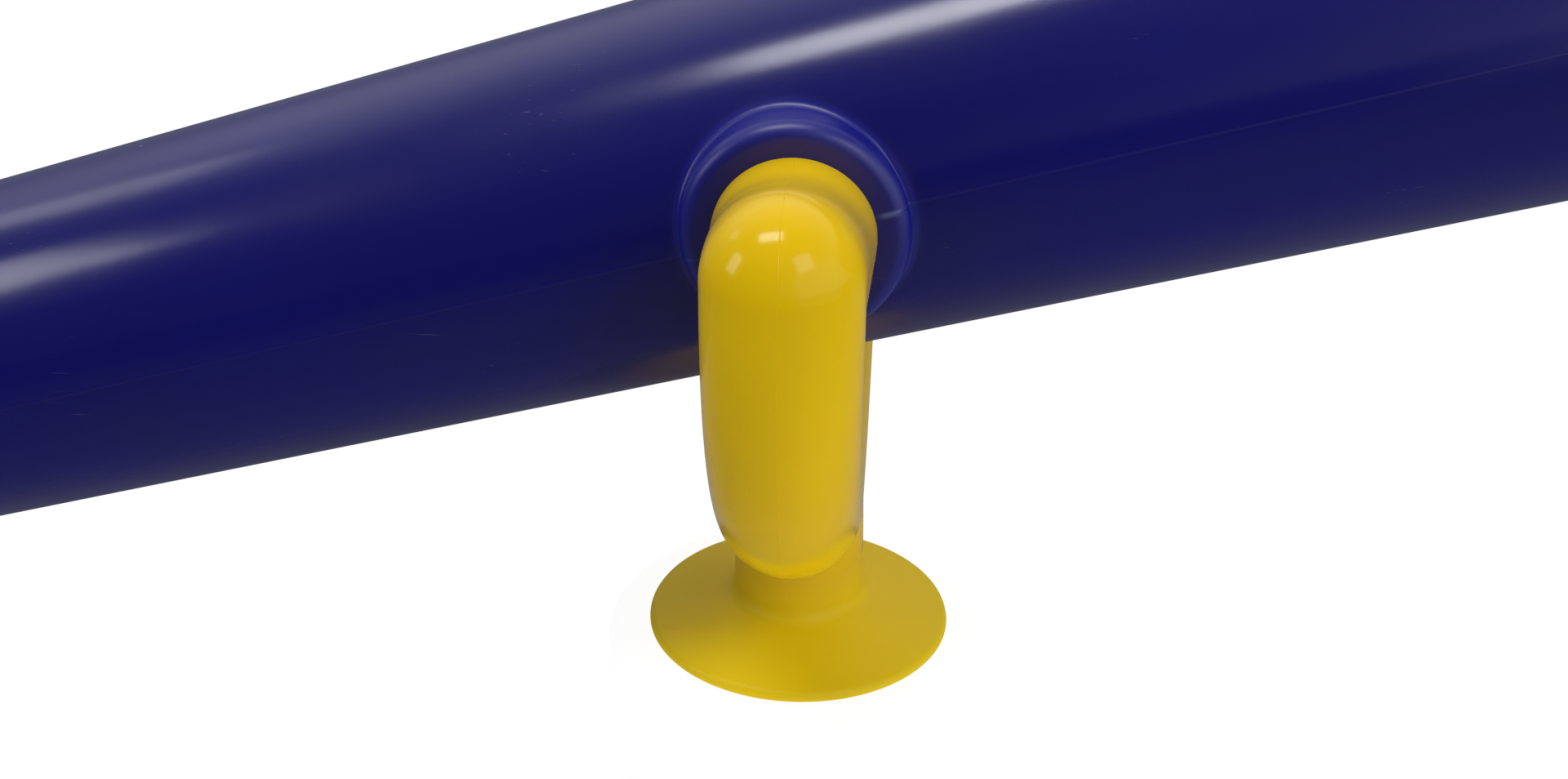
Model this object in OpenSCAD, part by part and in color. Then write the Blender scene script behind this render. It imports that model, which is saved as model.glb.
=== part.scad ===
// Play telescope for the rail of a play tower.
// A tapered barrel tilts on two trunnions in a round-tube yoke, and the yoke's
// flared foot snaps over a screwed-down disc and swivels on it.
// Origin: centre of the disc's underside. +X points to the objective, +Z is up.

/* [Barrel] */
// Outside diameter of the barrel at the trunnion axis
barrel_d = 113.5; // [104:0.5:122]
// Growth of the barrel's diameter per millimetre towards the objective
barrel_taper = 0.036; // [0.02:0.002:0.05]
// Wall of the barrel moulding
barrel_wall = 3; // [2:0.25:4]
// Trunnion axis to the start of the bell
front_len = 246; // [200:1:300]
// Trunnion axis to the start of the rear shoulder
rear_len = 290; // [240:1:320]
// Tilt of the barrel at rest, objective end up
rest_tilt = 16.4; // [0:0.2:30]

/* [Bell and rear neck] */
// Outside diameter of the bell's rim
bell_d = 140; // [134:0.5:160]
// Length of the flare into the bell
bell_len = 30; // [20:1:50]
// Length of the straight rim in front of the flare
bell_rim_len = 14; // [13:0.5:24]
// Outside diameter of the neck that carries the eyepiece
rear_neck_d = 60; // [56:0.5:70]
// Length of the shoulder that closes in on the neck
shoulder_len = 30; // [20:1:50]
// Length of the neck
rear_neck_len = 22; // [20:0.5:36]

/* [Trunnions] */
// Outside diameter of the collars on the barrel's sides
collar_d = 62.5; // [56:0.5:70]
// Height of a collar's face above the barrel's side
collar_h = 5.25; // [4:0.25:12]
// Rounding of a collar's outer edge
collar_round = 4.5; // [1:0.25:5]
// Diameter of the yoke's journals
journal_d = 32; // [26:0.5:34]
// Wall of the trunnion bushes
bush_wall = 2; // [1.5:0.25:3]
// Length of the trunnion bushes
bush_len = 18; // [12:0.5:22]
// Thickness of the friction washers
washer_t = 1.2; // [0.8:0.1:2]
// Thickness of the snap rings
clip_t = 1.5; // [1:0.1:2]
// Depth of the snap ring grooves
groove_depth = 1.4; // [0.8:0.1:1.6]

/* [Yoke] */
// Diameter of the yoke's tube
arm_d = 41.4; // [38:0.2:44]
// Wall of the yoke moulding
yoke_wall = 3; // [2:0.25:3.5]
// Length of tube seen between a collar's washer and the arm
stub_len = 19; // [14:0.5:30]
// Diameter of a stub at the collar
stub_d = 43.4; // [41.6:0.2:46]
// Diameter of a stub at the middle of the arm
stub_root_d = 40.8; // [34:0.2:41]
// Height of the arm ends' dome centres above the trunnion axis
dome_rise = 6; // [2:0.5:8]
// Height of the yoke's belly above the rail
belly_h = 38.4; // [34:0.2:60]

/* [Foot] */
// Diameter of the flared foot
foot_d = 99; // [94:0.5:130]
// Thickness of the foot's rim
rim_t = 3; // [2:0.25:4]
// Running gap between the rim and the rail
rim_gap = 1; // [0.3:0.1:1.2]
// Slope of the flare in degrees
flare_angle = 18; // [17:0.5:26]
// Diameter of the neck above the flare
neck_d = 42.4; // [41:0.2:46]
// Diameter of the neck where it runs into the yoke's belly
neck_top_d = 40; // [38:0.2:40.4]
// Fillet between the flare and the neck
neck_fillet = 4; // [2:0.5:6]

/* [Mounting disc] */
// Diameter of the hidden disc
disc_d = 70; // [66:0.5:72]
// Thickness of the disc
disc_t = 4; // [3:0.25:4.25]
// Diameter of the screw circle
screw_pcd = 50; // [48:0.5:54]
// Number of mounting screws
screw_count = 4; // [3:1:6]
// Clearance hole for a mounting screw
screw_hole_d = 5.2; // [4:0.1:6]
// Width of the countersink for a mounting screw's head
screw_head_d = 9.2; // [8:0.1:10]
// Diameter of the snap hub
hub_d = 28; // [24:0.2:29]
// Wall of the snap hub
hub_wall = 3; // [2:0.25:4]
// Width of the slots between the snap fingers
finger_slot = 3; // [2:0.25:5]
// Reach of the snap hooks past the foot's lip
hook_catch = 0.9; // [0.6:0.1:1.2]
// Wall of the swivel bush
swivel_bush_wall = 1.2; // [0.8:0.1:1.5]
// Height of the foot's inner lip above the rail
lip_h = 18; // [17:0.25:22]
// Thickness of the foot's inner lip
lip_t = 4; // [3:0.25:6]

/* [Objective] */
// Depth of the window's seat behind the bell's rim
seat_depth = 11; // [9:0.25:12]
// Width of the seat's ledge
ledge_w = 5; // [4:0.25:8]
// Thickness of the objective gasket
gasket_t = 1.5; // [1:0.1:2]
// Thickness of the objective window
window_t = 3; // [2:0.1:4]
// Wall of the bezel's skirt
bezel_wall = 3; // [2.5:0.25:5]
// Length of the bezel's skirt over the bell's rim
bezel_skirt = 13; // [11:0.5:13]
// Thickness of the bezel's front
bezel_front_t = 4; // [3:0.25:6]
// Number of bezel screws
bezel_screw_count = 3; // [3:1:8]

/* [Eyepiece] */
// Wall of the eyepiece housing's sleeve
housing_wall = 3; // [2.75:0.25:5]
// Length of the sleeve over the barrel's neck
housing_sleeve = 18; // [14:0.5:19]
// Thickness of the web that carries the lens
web_t = 3; // [2:0.25:5]
// Diameter of the eye hole
eye_hole_d = 40; // [30:0.5:42]
// Diameter of the eyepiece lens
lens_d = 49.6; // [47:0.2:51]
// Thickness of the eyepiece lens
lens_t = 3; // [2:0.25:4]
// Thickness of the lens gasket
lens_gasket_t = 1; // [0.6:0.1:1.5]
// Thickness of the ring that holds the lens
retainer_t = 4; // [3:0.25:5]
// Depth of the lens seat behind the web
lens_seat_depth = 12; // [11:0.25:16]
// Length of the seat that the eyecup is pushed over
eyecup_grip = 10; // [6:0.25:11]
// Wall of the eyecup
eyecup_wall = 2.1; // [1.5:0.1:2.5]
// Length of the eyecup behind the housing
eyecup_len = 22; // [12:0.5:34]
// Outside diameter of the eyecup's lip
eyecup_d = 80; // [70:0.5:96]
// Number of eyepiece screws
eyepiece_screw_count = 3; // [3:1:6]

/* [Small screws] */
// Diameter of the radial screws' shanks
small_screw_d = 2.8; // [2:0.1:3.4]
// Diameter of the radial screws' heads
small_head_d = 5.6; // [4.6:0.1:6.4]
// Height of the radial screws' heads
small_head_h = 1.5; // [1:0.1:1.8]

/* [Clearances] */
// Radial running clearance of the bearings
run_clear = 0.06; // [0.02:0.01:0.1]
// Radial clearance of seated pieces
seat_clear = 0.15; // [0.05:0.01:0.25]
// End clearance between pieces that turn against each other
end_clear = 0.25; // [0.2:0.01:0.3]

/* [Hidden] */
$fn = 96;
blue = [0.09, 0.08, 0.42];
yellow = [0.93, 0.76, 0.02];
black = [0.08, 0.08, 0.09];
nylon = [0.88, 0.87, 0.82];
steel = [0.72, 0.73, 0.75];
clear_plastic = [0.80, 0.90, 0.95, 0.4];

overcut = 1;
arc_steps = 8;
curve_steps = 10;
left_side = 1;
right_side = -1;

barrel_r = barrel_d / 2;
bell_r = bell_d / 2;
rear_neck_r = rear_neck_d / 2;
bell_start = front_len;
bell_full = bell_start + bell_len;
barrel_front = bell_full + bell_rim_len;
shoulder_start = -rear_len;
shoulder_full = shoulder_start - shoulder_len;
barrel_rear = shoulder_full - rear_neck_len;

collar_r = collar_d / 2;
collar_face = barrel_r + collar_h;
journal_r = journal_d / 2;
bush_bore_r = journal_r + run_clear;
bush_r = bush_bore_r + bush_wall;
socket_r = bush_r + seat_clear;
socket_wall_r = socket_r + barrel_wall;
bush_inset = 0.5;
bush_outer_end = collar_face - bush_inset;
socket_end = bush_outer_end - bush_len;
clip_outer_end = socket_end - end_clear;
clip_inner_end = clip_outer_end - clip_t;
groove_r = journal_r - groove_depth;
clip_catch = 1.5;
clip_r = socket_r + clip_catch;
clip_gap_angle = 60;
journal_tail = 3;
journal_end = clip_inner_end - journal_tail;
washer_inset = 1;
washer_r = stub_d / 2 - washer_inset;
shoulder_face = collar_face + washer_t + end_clear;

arm_r = arm_d / 2;
yoke_r = shoulder_face + stub_len + arm_r;
ring_low_z = belly_h + arm_r;
pivot_h = ring_low_z + yoke_r;

foot_r = foot_d / 2;
edge_r = rim_t / 2;
neck_r = neck_d / 2;
edge_centre = [foot_r - edge_r, rim_gap + edge_r];
flare_normal = [sin(flare_angle), cos(flare_angle)];
flare_foot = edge_centre + edge_r * flare_normal;
fillet_centre_r = neck_r + neck_fillet;
fillet_rise = neck_fillet - (fillet_centre_r - flare_foot[0]) * sin(flare_angle);
fillet_centre = [fillet_centre_r, flare_foot[1] + fillet_rise / cos(flare_angle)];
inner_flare_foot = flare_foot - yoke_wall * flare_normal;

hub_r = hub_d / 2;
swivel_bush_bore_r = hub_r + run_clear;
swivel_bush_r = swivel_bush_bore_r + swivel_bush_wall;
lip_r = swivel_bush_r + run_clear;
hook_r = lip_r + hook_catch;
neck_room_r = neck_r - yoke_wall;
hook_room = 1;
hook_room_r = hook_r + hook_room;
bush_flange_t = 1;
bush_flange_room = 0.8;
bush_flange_r = neck_room_r - bush_flange_room;
hub_step_z = lip_h - end_clear - bush_flange_t;
lip_top = lip_h + lip_t;
hook_low_z = lip_top + end_clear;
hook_flat = 1.2;
hook_lead = 3;
hub_top = hook_low_z + hook_flat + hook_lead;
hook_tip_inset = 1;
finger_root_h = 3;
finger_root_z = disc_t + finger_root_h;
screw_turn = 45;

bell_bore_r = bell_r - barrel_wall;
ledge_r = bell_bore_r - ledge_w;
ledge_s = barrel_front - seat_depth;
ledge_back = 8;
gasket_front = ledge_s + gasket_t;
window_front = gasket_front + window_t;
window_r = bell_bore_r - seat_clear;
bezel_bore_r = bell_r + seat_clear;
bezel_r = bezel_bore_r + bezel_wall;
bezel_back = barrel_front - bezel_skirt;
bezel_seat = barrel_front + seat_clear;
bezel_face = bezel_seat + bezel_front_t;
bezel_lip = 1;
bezel_open_r = ledge_r - bezel_lip;
bezel_rib_inset = 0.4;
bezel_rib_r = window_r - bezel_rib_inset;
bezel_round = 2;
bezel_screw_s = (bezel_back + barrel_front) / 2;

rear_bore_r = rear_neck_r - barrel_wall;
housing_bore_r = rear_neck_r + seat_clear;
housing_r = housing_bore_r + housing_wall;
web_front = barrel_rear - seat_clear;
housing_front = barrel_rear + housing_sleeve;
web_back = web_front - web_t;
housing_back = web_back - lens_seat_depth;
eye_hole_r = eye_hole_d / 2;
lens_r = lens_d / 2;
lens_seat_r = lens_r + seat_clear;
lens_front = web_back - lens_gasket_t;
lens_back = lens_front - lens_t;
retainer_back = lens_back - retainer_t;
grip_r = housing_r - eyecup_wall;
grip_front = housing_back + eyecup_grip;
eyecup_bore_r = grip_r + run_clear;
eyecup_rear = housing_back - eyecup_len;
eyecup_lip_r = eyecup_d / 2;
eyepiece_screw_s = (housing_front + barrel_rear) / 2;

small_screw_r = small_screw_d / 2;
small_head_r = small_head_d / 2;
small_hole_r = small_screw_r + run_clear;

// Outside radius of the barrel's straight cone at a distance along its axis
function cone_r(s) = barrel_r + barrel_taper / 2 * s;

// Smooth step from 0 to 1 with level ends
function ease(t) = t * t * (3 - 2 * t);

// Points of an arc from one angle to another
function arc(centre, r, from, to) = [
  for (i = [0:arc_steps])
    let (a = from + (to - from) * i / arc_steps)
      centre + r * [cos(a), sin(a)]
];

// Points of a smooth run from one radius to another between two places on an axis
function smooth_run(s0, r0, s1, r1) = [
  for (i = [0:curve_steps])
    let (t = i / curve_steps)
      [r0 + (r1 - r0) * ease(t), s0 + (s1 - s0) * t]
];

// Radius of the flare's inside at a height
function inner_flare_r(z) = inner_flare_foot[0] - (z - inner_flare_foot[1]) / tan(flare_angle);

// Height of the flare's inside at a radius
function inner_flare_z(r) = inner_flare_foot[1] + (inner_flare_foot[0] - r) * tan(flare_angle);

// Places children on the barrel's axis at the rest tilt, trunnion axis at the origin
module on_barrel() {
  translate([0, 0, pivot_h])
    rotate([0, -rest_tilt, 0])
      children();
}

// Turns children so that their +Z runs outwards along the trunnion axis on one side
module on_trunnion(side) {
  rotate([-90 * side, 0, 0])
    children();
}

// Solid turned about the barrel's axis, from points of radius and distance
module lathe(points) {
  rotate([0, 90, 0])
    rotate_extrude()
      polygon(points);
}

// Flat ring about the barrel's axis
module lathe_ring(bore_r, r, from, to) {
  lathe([[bore_r, from], [r, from], [r, to], [bore_r, to]]);
}

// Ring about +Z between two heights
module ring(bore_r, r, from, to) {
  rotate_extrude()
    polygon([[bore_r, from], [r, from], [r, to], [bore_r, to]]);
}

// Children repeated about the barrel's axis, with their +Z pointing outwards
module round_barrel(count, s) {
  for (i = [0:count - 1])
    rotate([180 + 360 * i / count, 0, 0])
      translate([s, 0, 0])
        children();
}

// Radial screw with its head sunk flush with an outside radius
module radial_screw(head_outer_r, tip_r) {
  head_inner_r = head_outer_r - small_head_h;
  translate([0, 0, tip_r])
    cylinder(r = small_screw_r, h = head_inner_r - tip_r);
  translate([0, 0, head_inner_r])
    cylinder(r = small_head_r, h = small_head_h - run_clear);
}

// Hole and head recess for a radial screw, through a wall from its inside radius
module radial_screw_hole(wall_inner_r, head_outer_r) {
  start_r = wall_inner_r - overcut;
  translate([0, 0, start_r])
    cylinder(r = small_hole_r, h = head_outer_r - start_r);
  translate([0, 0, head_outer_r - small_head_h - run_clear])
    cylinder(r = small_head_r + run_clear, h = small_head_h + overcut);
}

// Disc that is screwed to the rail, with the snap hub the foot is pushed over
module mounting_disc() {
  color(black)
    difference() {
      union() {
        cylinder(r = disc_d / 2, h = disc_t);
        cylinder(r = bush_flange_r, h = hub_step_z);
        cylinder(r = hub_r, h = hub_top);
        translate([0, 0, hook_low_z])
          cylinder(r = hook_r, h = hook_flat);
        translate([0, 0, hook_low_z + hook_flat])
          cylinder(r1 = hook_r, r2 = hub_r - hook_tip_inset, h = hook_lead);
      }
      translate([0, 0, finger_root_z])
        cylinder(r = hub_r - hub_wall, h = hub_top);
      for (turn = [0, 90])
        rotate(turn)
          translate([-disc_d / 2, -finger_slot / 2, hub_step_z])
            cube([disc_d, finger_slot, hub_top]);
      for (i = [0:screw_count - 1])
        rotate(screw_turn + 360 * i / screw_count)
          translate([screw_pcd / 2, 0, 0])
            screw_seat();
    }
}

// Countersunk hole for one mounting screw
module screw_seat() {
  hole_r = screw_hole_d / 2;
  head_r = screw_head_d / 2;
  sink = head_r - hole_r;
  translate([0, 0, -overcut])
    cylinder(r = hole_r, h = disc_t + 2 * overcut);
  translate([0, 0, disc_t - sink])
    cylinder(r1 = hole_r, r2 = head_r + overcut, h = sink + overcut);
}

// Flanged bush that the foot's lip turns on
module swivel_bush() {
  color(nylon) {
    rotate_extrude()
      polygon([
        [swivel_bush_bore_r, hub_step_z],
        [bush_flange_r, hub_step_z],
        [bush_flange_r, hub_step_z + bush_flange_t],
        [swivel_bush_r, hub_step_z + bush_flange_t],
        [swivel_bush_r, lip_top],
        [swivel_bush_bore_r, lip_top]
      ]);
  }
}

// Half ring and domed arm ends of the yoke, for the outside or the hollow
module yoke_tube(r) {
  translate([0, 0, pivot_h]) {
    rotate([0, -90, 0])
      rotate([0, 0, 90])
        rotate_extrude(angle = 180)
          translate([yoke_r, 0])
            circle(r = r);
    for (side = [left_side, right_side])
      translate([0, side * yoke_r, 0]) {
        cylinder(r = r, h = dome_rise);
        translate([0, 0, dome_rise])
          intersection() {
            sphere(r = r);
            translate([-r, -r, 0])
              cube(2 * r);
          }
      }
  }
}

// Outside of the flared foot and its neck
module foot_outside() {
  rotate_extrude()
    polygon(concat(
      [[0, rim_gap]],
      arc(edge_centre, edge_r, -90, 90 - flare_angle),
      arc(fillet_centre, neck_fillet, 270 - flare_angle, 180),
      [[neck_top_d / 2, ring_low_z], [0, ring_low_z]]
    ));
}

// Hollow of the foot, the lip's bore and the room for the snap hooks
module foot_hollow() {
  rotate_extrude()
    polygon([
      [0, rim_gap - overcut],
      [inner_flare_r(rim_gap - overcut), rim_gap - overcut],
      [neck_room_r, inner_flare_z(neck_room_r)],
      [neck_room_r, lip_h],
      [lip_r, lip_h],
      [lip_r, lip_top],
      [hook_room_r, lip_top],
      [hook_room_r, ring_low_z],
      [0, ring_low_z]
    ]);
}

// One stub with its journal and snap ring groove
module trunnion(side) {
  translate([0, 0, pivot_h])
    on_trunnion(side) {
      translate([0, 0, shoulder_face])
        cylinder(r1 = stub_d / 2, r2 = stub_root_d / 2, h = yoke_r - shoulder_face);
      translate([0, 0, clip_outer_end])
        cylinder(r = journal_r, h = shoulder_face - clip_outer_end + overcut);
      translate([0, 0, clip_inner_end])
        cylinder(r = groove_r, h = clip_t);
      translate([0, 0, journal_end])
        cylinder(r = journal_r, h = journal_tail);
    }
}

// Hollow of one stub and journal, closed at the journal's end
module trunnion_hollow(side) {
  bore_r = groove_r - yoke_wall / 2;
  translate([0, 0, pivot_h])
    on_trunnion(side)
      translate([0, 0, journal_end + yoke_wall])
        cylinder(r = bore_r, h = yoke_r - journal_end - yoke_wall);
}

// Yoke: half ring, stubs, neck and flared foot in one hollow moulding
module yoke() {
  color(yellow)
    difference() {
      union() {
        yoke_tube(arm_r);
        foot_outside();
        trunnion(left_side);
        trunnion(right_side);
      }
      yoke_tube(arm_r - yoke_wall);
      foot_hollow();
      trunnion_hollow(left_side);
      trunnion_hollow(right_side);
    }
}

// Split snap ring in a journal's groove
module trunnion_clip(side) {
  color(steel)
    translate([0, 0, pivot_h])
      on_trunnion(side)
        translate([0, 0, clip_inner_end])
          difference() {
            ring(groove_r + run_clear, clip_r, run_clear, clip_t - run_clear);
            rotate(90 * side)
              clip_opening();
          }
}

// Wedge between the ends of a snap ring
module clip_opening() {
  reach = 2 * clip_r;
  half_w = reach * tan(clip_gap_angle / 2);
  translate([0, 0, -overcut])
    linear_extrude(clip_t + 2 * overcut)
      polygon([[0, 0], [reach, -half_w], [reach, half_w]]);
}

module right_trunnion_clip() {
  trunnion_clip(right_side);
}

module left_trunnion_clip() {
  trunnion_clip(left_side);
}

// Outside of the barrel without its collars
module barrel_outside() {
  lathe(concat(
    [[0, barrel_rear], [rear_neck_r, barrel_rear]],
    smooth_run(shoulder_full, rear_neck_r, shoulder_start, cone_r(shoulder_start)),
    smooth_run(bell_start, cone_r(bell_start), bell_full, bell_r),
    [[bell_r, barrel_front], [0, barrel_front]]
  ));
}

// Hollow of the barrel, with the ledge for the objective window
module barrel_hollow() {
  lathe(concat(
    [[0, barrel_rear - overcut], [rear_bore_r, barrel_rear - overcut]],
    smooth_run(
      shoulder_full, rear_bore_r,
      shoulder_start, cone_r(shoulder_start) - barrel_wall
    ),
    [
      [cone_r(bell_start) - barrel_wall, bell_start],
      [ledge_r, ledge_s - ledge_back],
      [ledge_r, ledge_s],
      [bell_bore_r, ledge_s],
      [bell_bore_r, barrel_front + overcut],
      [0, barrel_front + overcut]
    ]
  ));
}

// Outside of one collar, from the barrel's axis to its rounded edge
module collar_outside() {
  round_centre = [collar_r - collar_round, collar_face - collar_round];
  rotate_extrude()
    polygon(concat(
      [[0, 0], [collar_r, 0]],
      arc(round_centre, collar_round, 0, 90),
      [[0, collar_face]]
    ));
}

// Barrel: blow-moulded tube with a socketed collar on each side
module barrel() {
  color(blue)
    on_barrel()
      difference() {
        union() {
          barrel_outside();
          for (side = [left_side, right_side])
            on_trunnion(side)
              collar_outside();
        }
        difference() {
          union() {
            barrel_hollow();
            for (side = [left_side, right_side])
              on_trunnion(side)
                cylinder(r = collar_r - barrel_wall, h = collar_face - barrel_wall);
          }
          for (side = [left_side, right_side])
            on_trunnion(side)
              translate([0, 0, socket_end])
                cylinder(r = socket_wall_r, h = collar_face - socket_end);
        }
        for (side = [left_side, right_side])
          on_trunnion(side)
            translate([0, 0, socket_end - overcut])
              cylinder(r = socket_r, h = collar_face - socket_end + 2 * overcut);
        round_barrel(bezel_screw_count, bezel_screw_s)
          radial_screw_hole(bell_bore_r, bezel_r);
        round_barrel(eyepiece_screw_count, eyepiece_screw_s)
          radial_screw_hole(rear_bore_r, housing_r);
      }
}

// Bearing sleeve pressed into one collar
module trunnion_bush(side) {
  color(nylon)
    on_barrel()
      on_trunnion(side)
        ring(bush_bore_r, bush_r, socket_end, bush_outer_end);
}

module right_trunnion_bush() {
  trunnion_bush(right_side);
}

module left_trunnion_bush() {
  trunnion_bush(left_side);
}

// Rubber washer between one collar's face and the yoke's stub
module tilt_washer(side) {
  color(black)
    on_barrel()
      on_trunnion(side)
        ring(bush_bore_r, washer_r, collar_face, collar_face + washer_t);
}

module right_tilt_washer() {
  tilt_washer(right_side);
}

module left_tilt_washer() {
  tilt_washer(left_side);
}

// Flat ring between the bell's ledge and the window
module objective_gasket() {
  color(black)
    on_barrel()
      lathe_ring(ledge_r, window_r, ledge_s, gasket_front);
}

// Clear disc in the bell's mouth
module objective_window() {
  color(clear_plastic)
    on_barrel()
      rotate([0, 90, 0])
        translate([0, 0, gasket_front])
          cylinder(r = window_r, h = window_t);
}

// Ring that caps the bell and holds the window on its ledge
module objective_bezel() {
  corner = [bezel_r - bezel_round, bezel_face - bezel_round];
  color(yellow)
    on_barrel()
      difference() {
        lathe(concat(
          [
            [bezel_open_r, window_front],
            [bezel_rib_r, window_front],
            [bezel_rib_r, bezel_seat],
            [bezel_bore_r, bezel_seat],
            [bezel_bore_r, bezel_back],
            [bezel_r, bezel_back]
          ],
          arc(corner, bezel_round, 0, 90),
          [[bezel_open_r, bezel_face]]
        ));
        round_barrel(bezel_screw_count, bezel_screw_s)
          radial_screw_hole(bezel_bore_r, bezel_r);
      }
}

// Radial screws that hold the bezel
module bezel_screws() {
  color(steel)
    on_barrel()
      round_barrel(bezel_screw_count, bezel_screw_s)
        radial_screw(bezel_r, bell_bore_r + run_clear);
}

// Sleeve over the rear neck, with the lens seat and the eyecup's seat
module eyepiece_housing() {
  color(yellow)
    on_barrel()
      difference() {
        lathe([
          [eye_hole_r, web_front],
          [housing_bore_r, web_front],
          [housing_bore_r, housing_front],
          [housing_r, housing_front],
          [housing_r, grip_front],
          [grip_r, grip_front],
          [grip_r, housing_back],
          [lens_seat_r, housing_back],
          [lens_seat_r, web_back],
          [eye_hole_r, web_back]
        ]);
        round_barrel(eyepiece_screw_count, eyepiece_screw_s)
          radial_screw_hole(housing_bore_r, housing_r);
      }
}

// Flat ring between the web and the lens
module eyepiece_gasket() {
  color(black)
    on_barrel()
      lathe_ring(eye_hole_r, lens_r, lens_front, web_back);
}

// Clear disc in the eyepiece
module eyepiece_lens() {
  color(clear_plastic)
    on_barrel()
      rotate([0, 90, 0])
        translate([0, 0, lens_back])
          cylinder(r = lens_r, h = lens_t);
}

// Ring that holds the lens in its seat
module lens_retaining_ring() {
  color(black)
    on_barrel()
      lathe_ring(eye_hole_r, lens_r, retainer_back, lens_back);
}

// Radial screws that hold the eyepiece housing
module eyepiece_screws() {
  color(steel)
    on_barrel()
      round_barrel(eyepiece_screw_count, eyepiece_screw_s)
        radial_screw(housing_r, rear_bore_r + run_clear);
}

// Soft flared cup pushed over the housing's seat
module eyecup() {
  lip_round = eyecup_wall / 2;
  lip_centre = [eyecup_lip_r - lip_round, eyecup_rear + lip_round];
  color(black)
    on_barrel()
      lathe(concat(
        [
          [eyecup_bore_r, grip_front],
          [eyecup_bore_r, housing_back],
          [lens_seat_r, housing_back],
          [lens_seat_r, housing_back - eyecup_wall]
        ],
        arc(lip_centre, lip_round, -180, 0),
        [[housing_r, housing_back - eyecup_wall], [housing_r, grip_front]]
      ));
}

mounting_disc();
swivel_bush();
yoke();
right_trunnion_clip();
left_trunnion_clip();
barrel();
right_trunnion_bush();
left_trunnion_bush();
right_tilt_washer();
left_tilt_washer();
objective_gasket();
objective_window();
objective_bezel();
bezel_screws();
eyepiece_housing();
eyepiece_gasket();
eyepiece_lens();
lens_retaining_ring();
eyepiece_screws();
eyecup();
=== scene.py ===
import math

import bpy
import numpy as np
from mathutils import Matrix, Vector


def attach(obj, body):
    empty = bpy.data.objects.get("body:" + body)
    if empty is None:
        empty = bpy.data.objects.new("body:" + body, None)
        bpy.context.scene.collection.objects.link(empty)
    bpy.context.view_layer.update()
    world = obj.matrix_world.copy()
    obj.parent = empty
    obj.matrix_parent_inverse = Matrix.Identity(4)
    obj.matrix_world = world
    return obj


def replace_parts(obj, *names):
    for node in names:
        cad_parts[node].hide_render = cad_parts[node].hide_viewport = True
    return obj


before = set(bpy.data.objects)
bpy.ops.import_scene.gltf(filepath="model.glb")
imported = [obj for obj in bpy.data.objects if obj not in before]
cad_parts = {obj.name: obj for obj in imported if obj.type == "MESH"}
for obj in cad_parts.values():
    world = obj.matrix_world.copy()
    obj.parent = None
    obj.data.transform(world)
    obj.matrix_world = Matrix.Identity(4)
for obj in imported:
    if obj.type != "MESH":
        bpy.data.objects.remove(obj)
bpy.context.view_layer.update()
bpy.ops.object.select_all(action="DESELECT")


# Mounting disc
# A black moulded disc that four wood screws hold to the rail, with a slotted snap hub
# in its middle. The foot hides it, so its solid is shown as it is, in matt black plastic.

def add_node(tree, kind, settings=None, feeds=None):
    made = tree.nodes.new(kind)
    for key, value in (settings or {}).items():
        setattr(made, key, value)
    for key, value in (feeds or {}).items():
        if isinstance(value, bpy.types.NodeSocket):
            tree.links.new(value, made.inputs[key])
        else:
            made.inputs[key].default_value = value
    return made


def new_group(name, inputs, outputs):
    group = bpy.data.node_groups.new(name, "ShaderNodeTree")
    for label, kind in inputs:
        group.interface.new_socket(label, in_out="INPUT", socket_type=kind)
    for label, kind in outputs:
        group.interface.new_socket(label, in_out="OUTPUT", socket_type=kind)
    return group, group.nodes.new("NodeGroupInput"), group.nodes.new("NodeGroupOutput")


def ramp(tree, factor, low, high):
    return add_node(
        tree, "ShaderNodeMapRange", {"interpolation_type": "SMOOTHSTEP"},
        {"Value": factor, "From Min": low, "From Max": high},
    ).outputs["Result"]


def arithmetic(tree, operation, first, second):
    return add_node(
        tree, "ShaderNodeMath", {"operation": operation}, {0: first, 1: second},
    ).outputs[0]


def mixed_colour(tree, factor, first, second):
    return add_node(
        tree, "ShaderNodeMix", {"data_type": "RGBA"}, {"Factor": factor, "A": first, "B": second},
    ).outputs["Result"]


def bump(tree, height, depth, under=None):
    feeds = {"Height": height, "Strength": 1.0, "Distance": depth}
    if under is not None:
        feeds["Normal"] = under
    return add_node(tree, "ShaderNodeBump", None, feeds).outputs["Normal"]


def new_finish(name):
    material = bpy.data.materials.new(name)
    material.use_nodes = True
    tree = material.node_tree
    place = add_node(tree, "ShaderNodeTexCoord").outputs["Object"]
    return material, tree, tree.nodes["Principled BSDF"], place


def effect(tree, group, place):
    return add_node(tree, "ShaderNodeGroup", {"node_tree": group}, {"Vector": place}).outputs


# Skin of a moulding: cloudy tone of the pigment, slow waves of the wall, fine peel of the surface
moulding, skin_in, skin_out = new_group(
    "moulding", [("Vector", "NodeSocketVector")],
    [("Tone", "NodeSocketFloat"), ("Wave", "NodeSocketFloat"), ("Peel", "NodeSocketFloat")],
)
for label, scale, detail in (("Tone", 16.0, 3.0), ("Wave", 26.0, 1.0), ("Peel", 520.0, 2.0)):
    cloud = add_node(
        moulding, "ShaderNodeTexNoise", None,
        {"Vector": skin_in.outputs["Vector"], "Scale": scale, "Detail": detail},
    )
    moulding.links.new(cloud.outputs["Fac"], skin_out.inputs[label])

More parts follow.
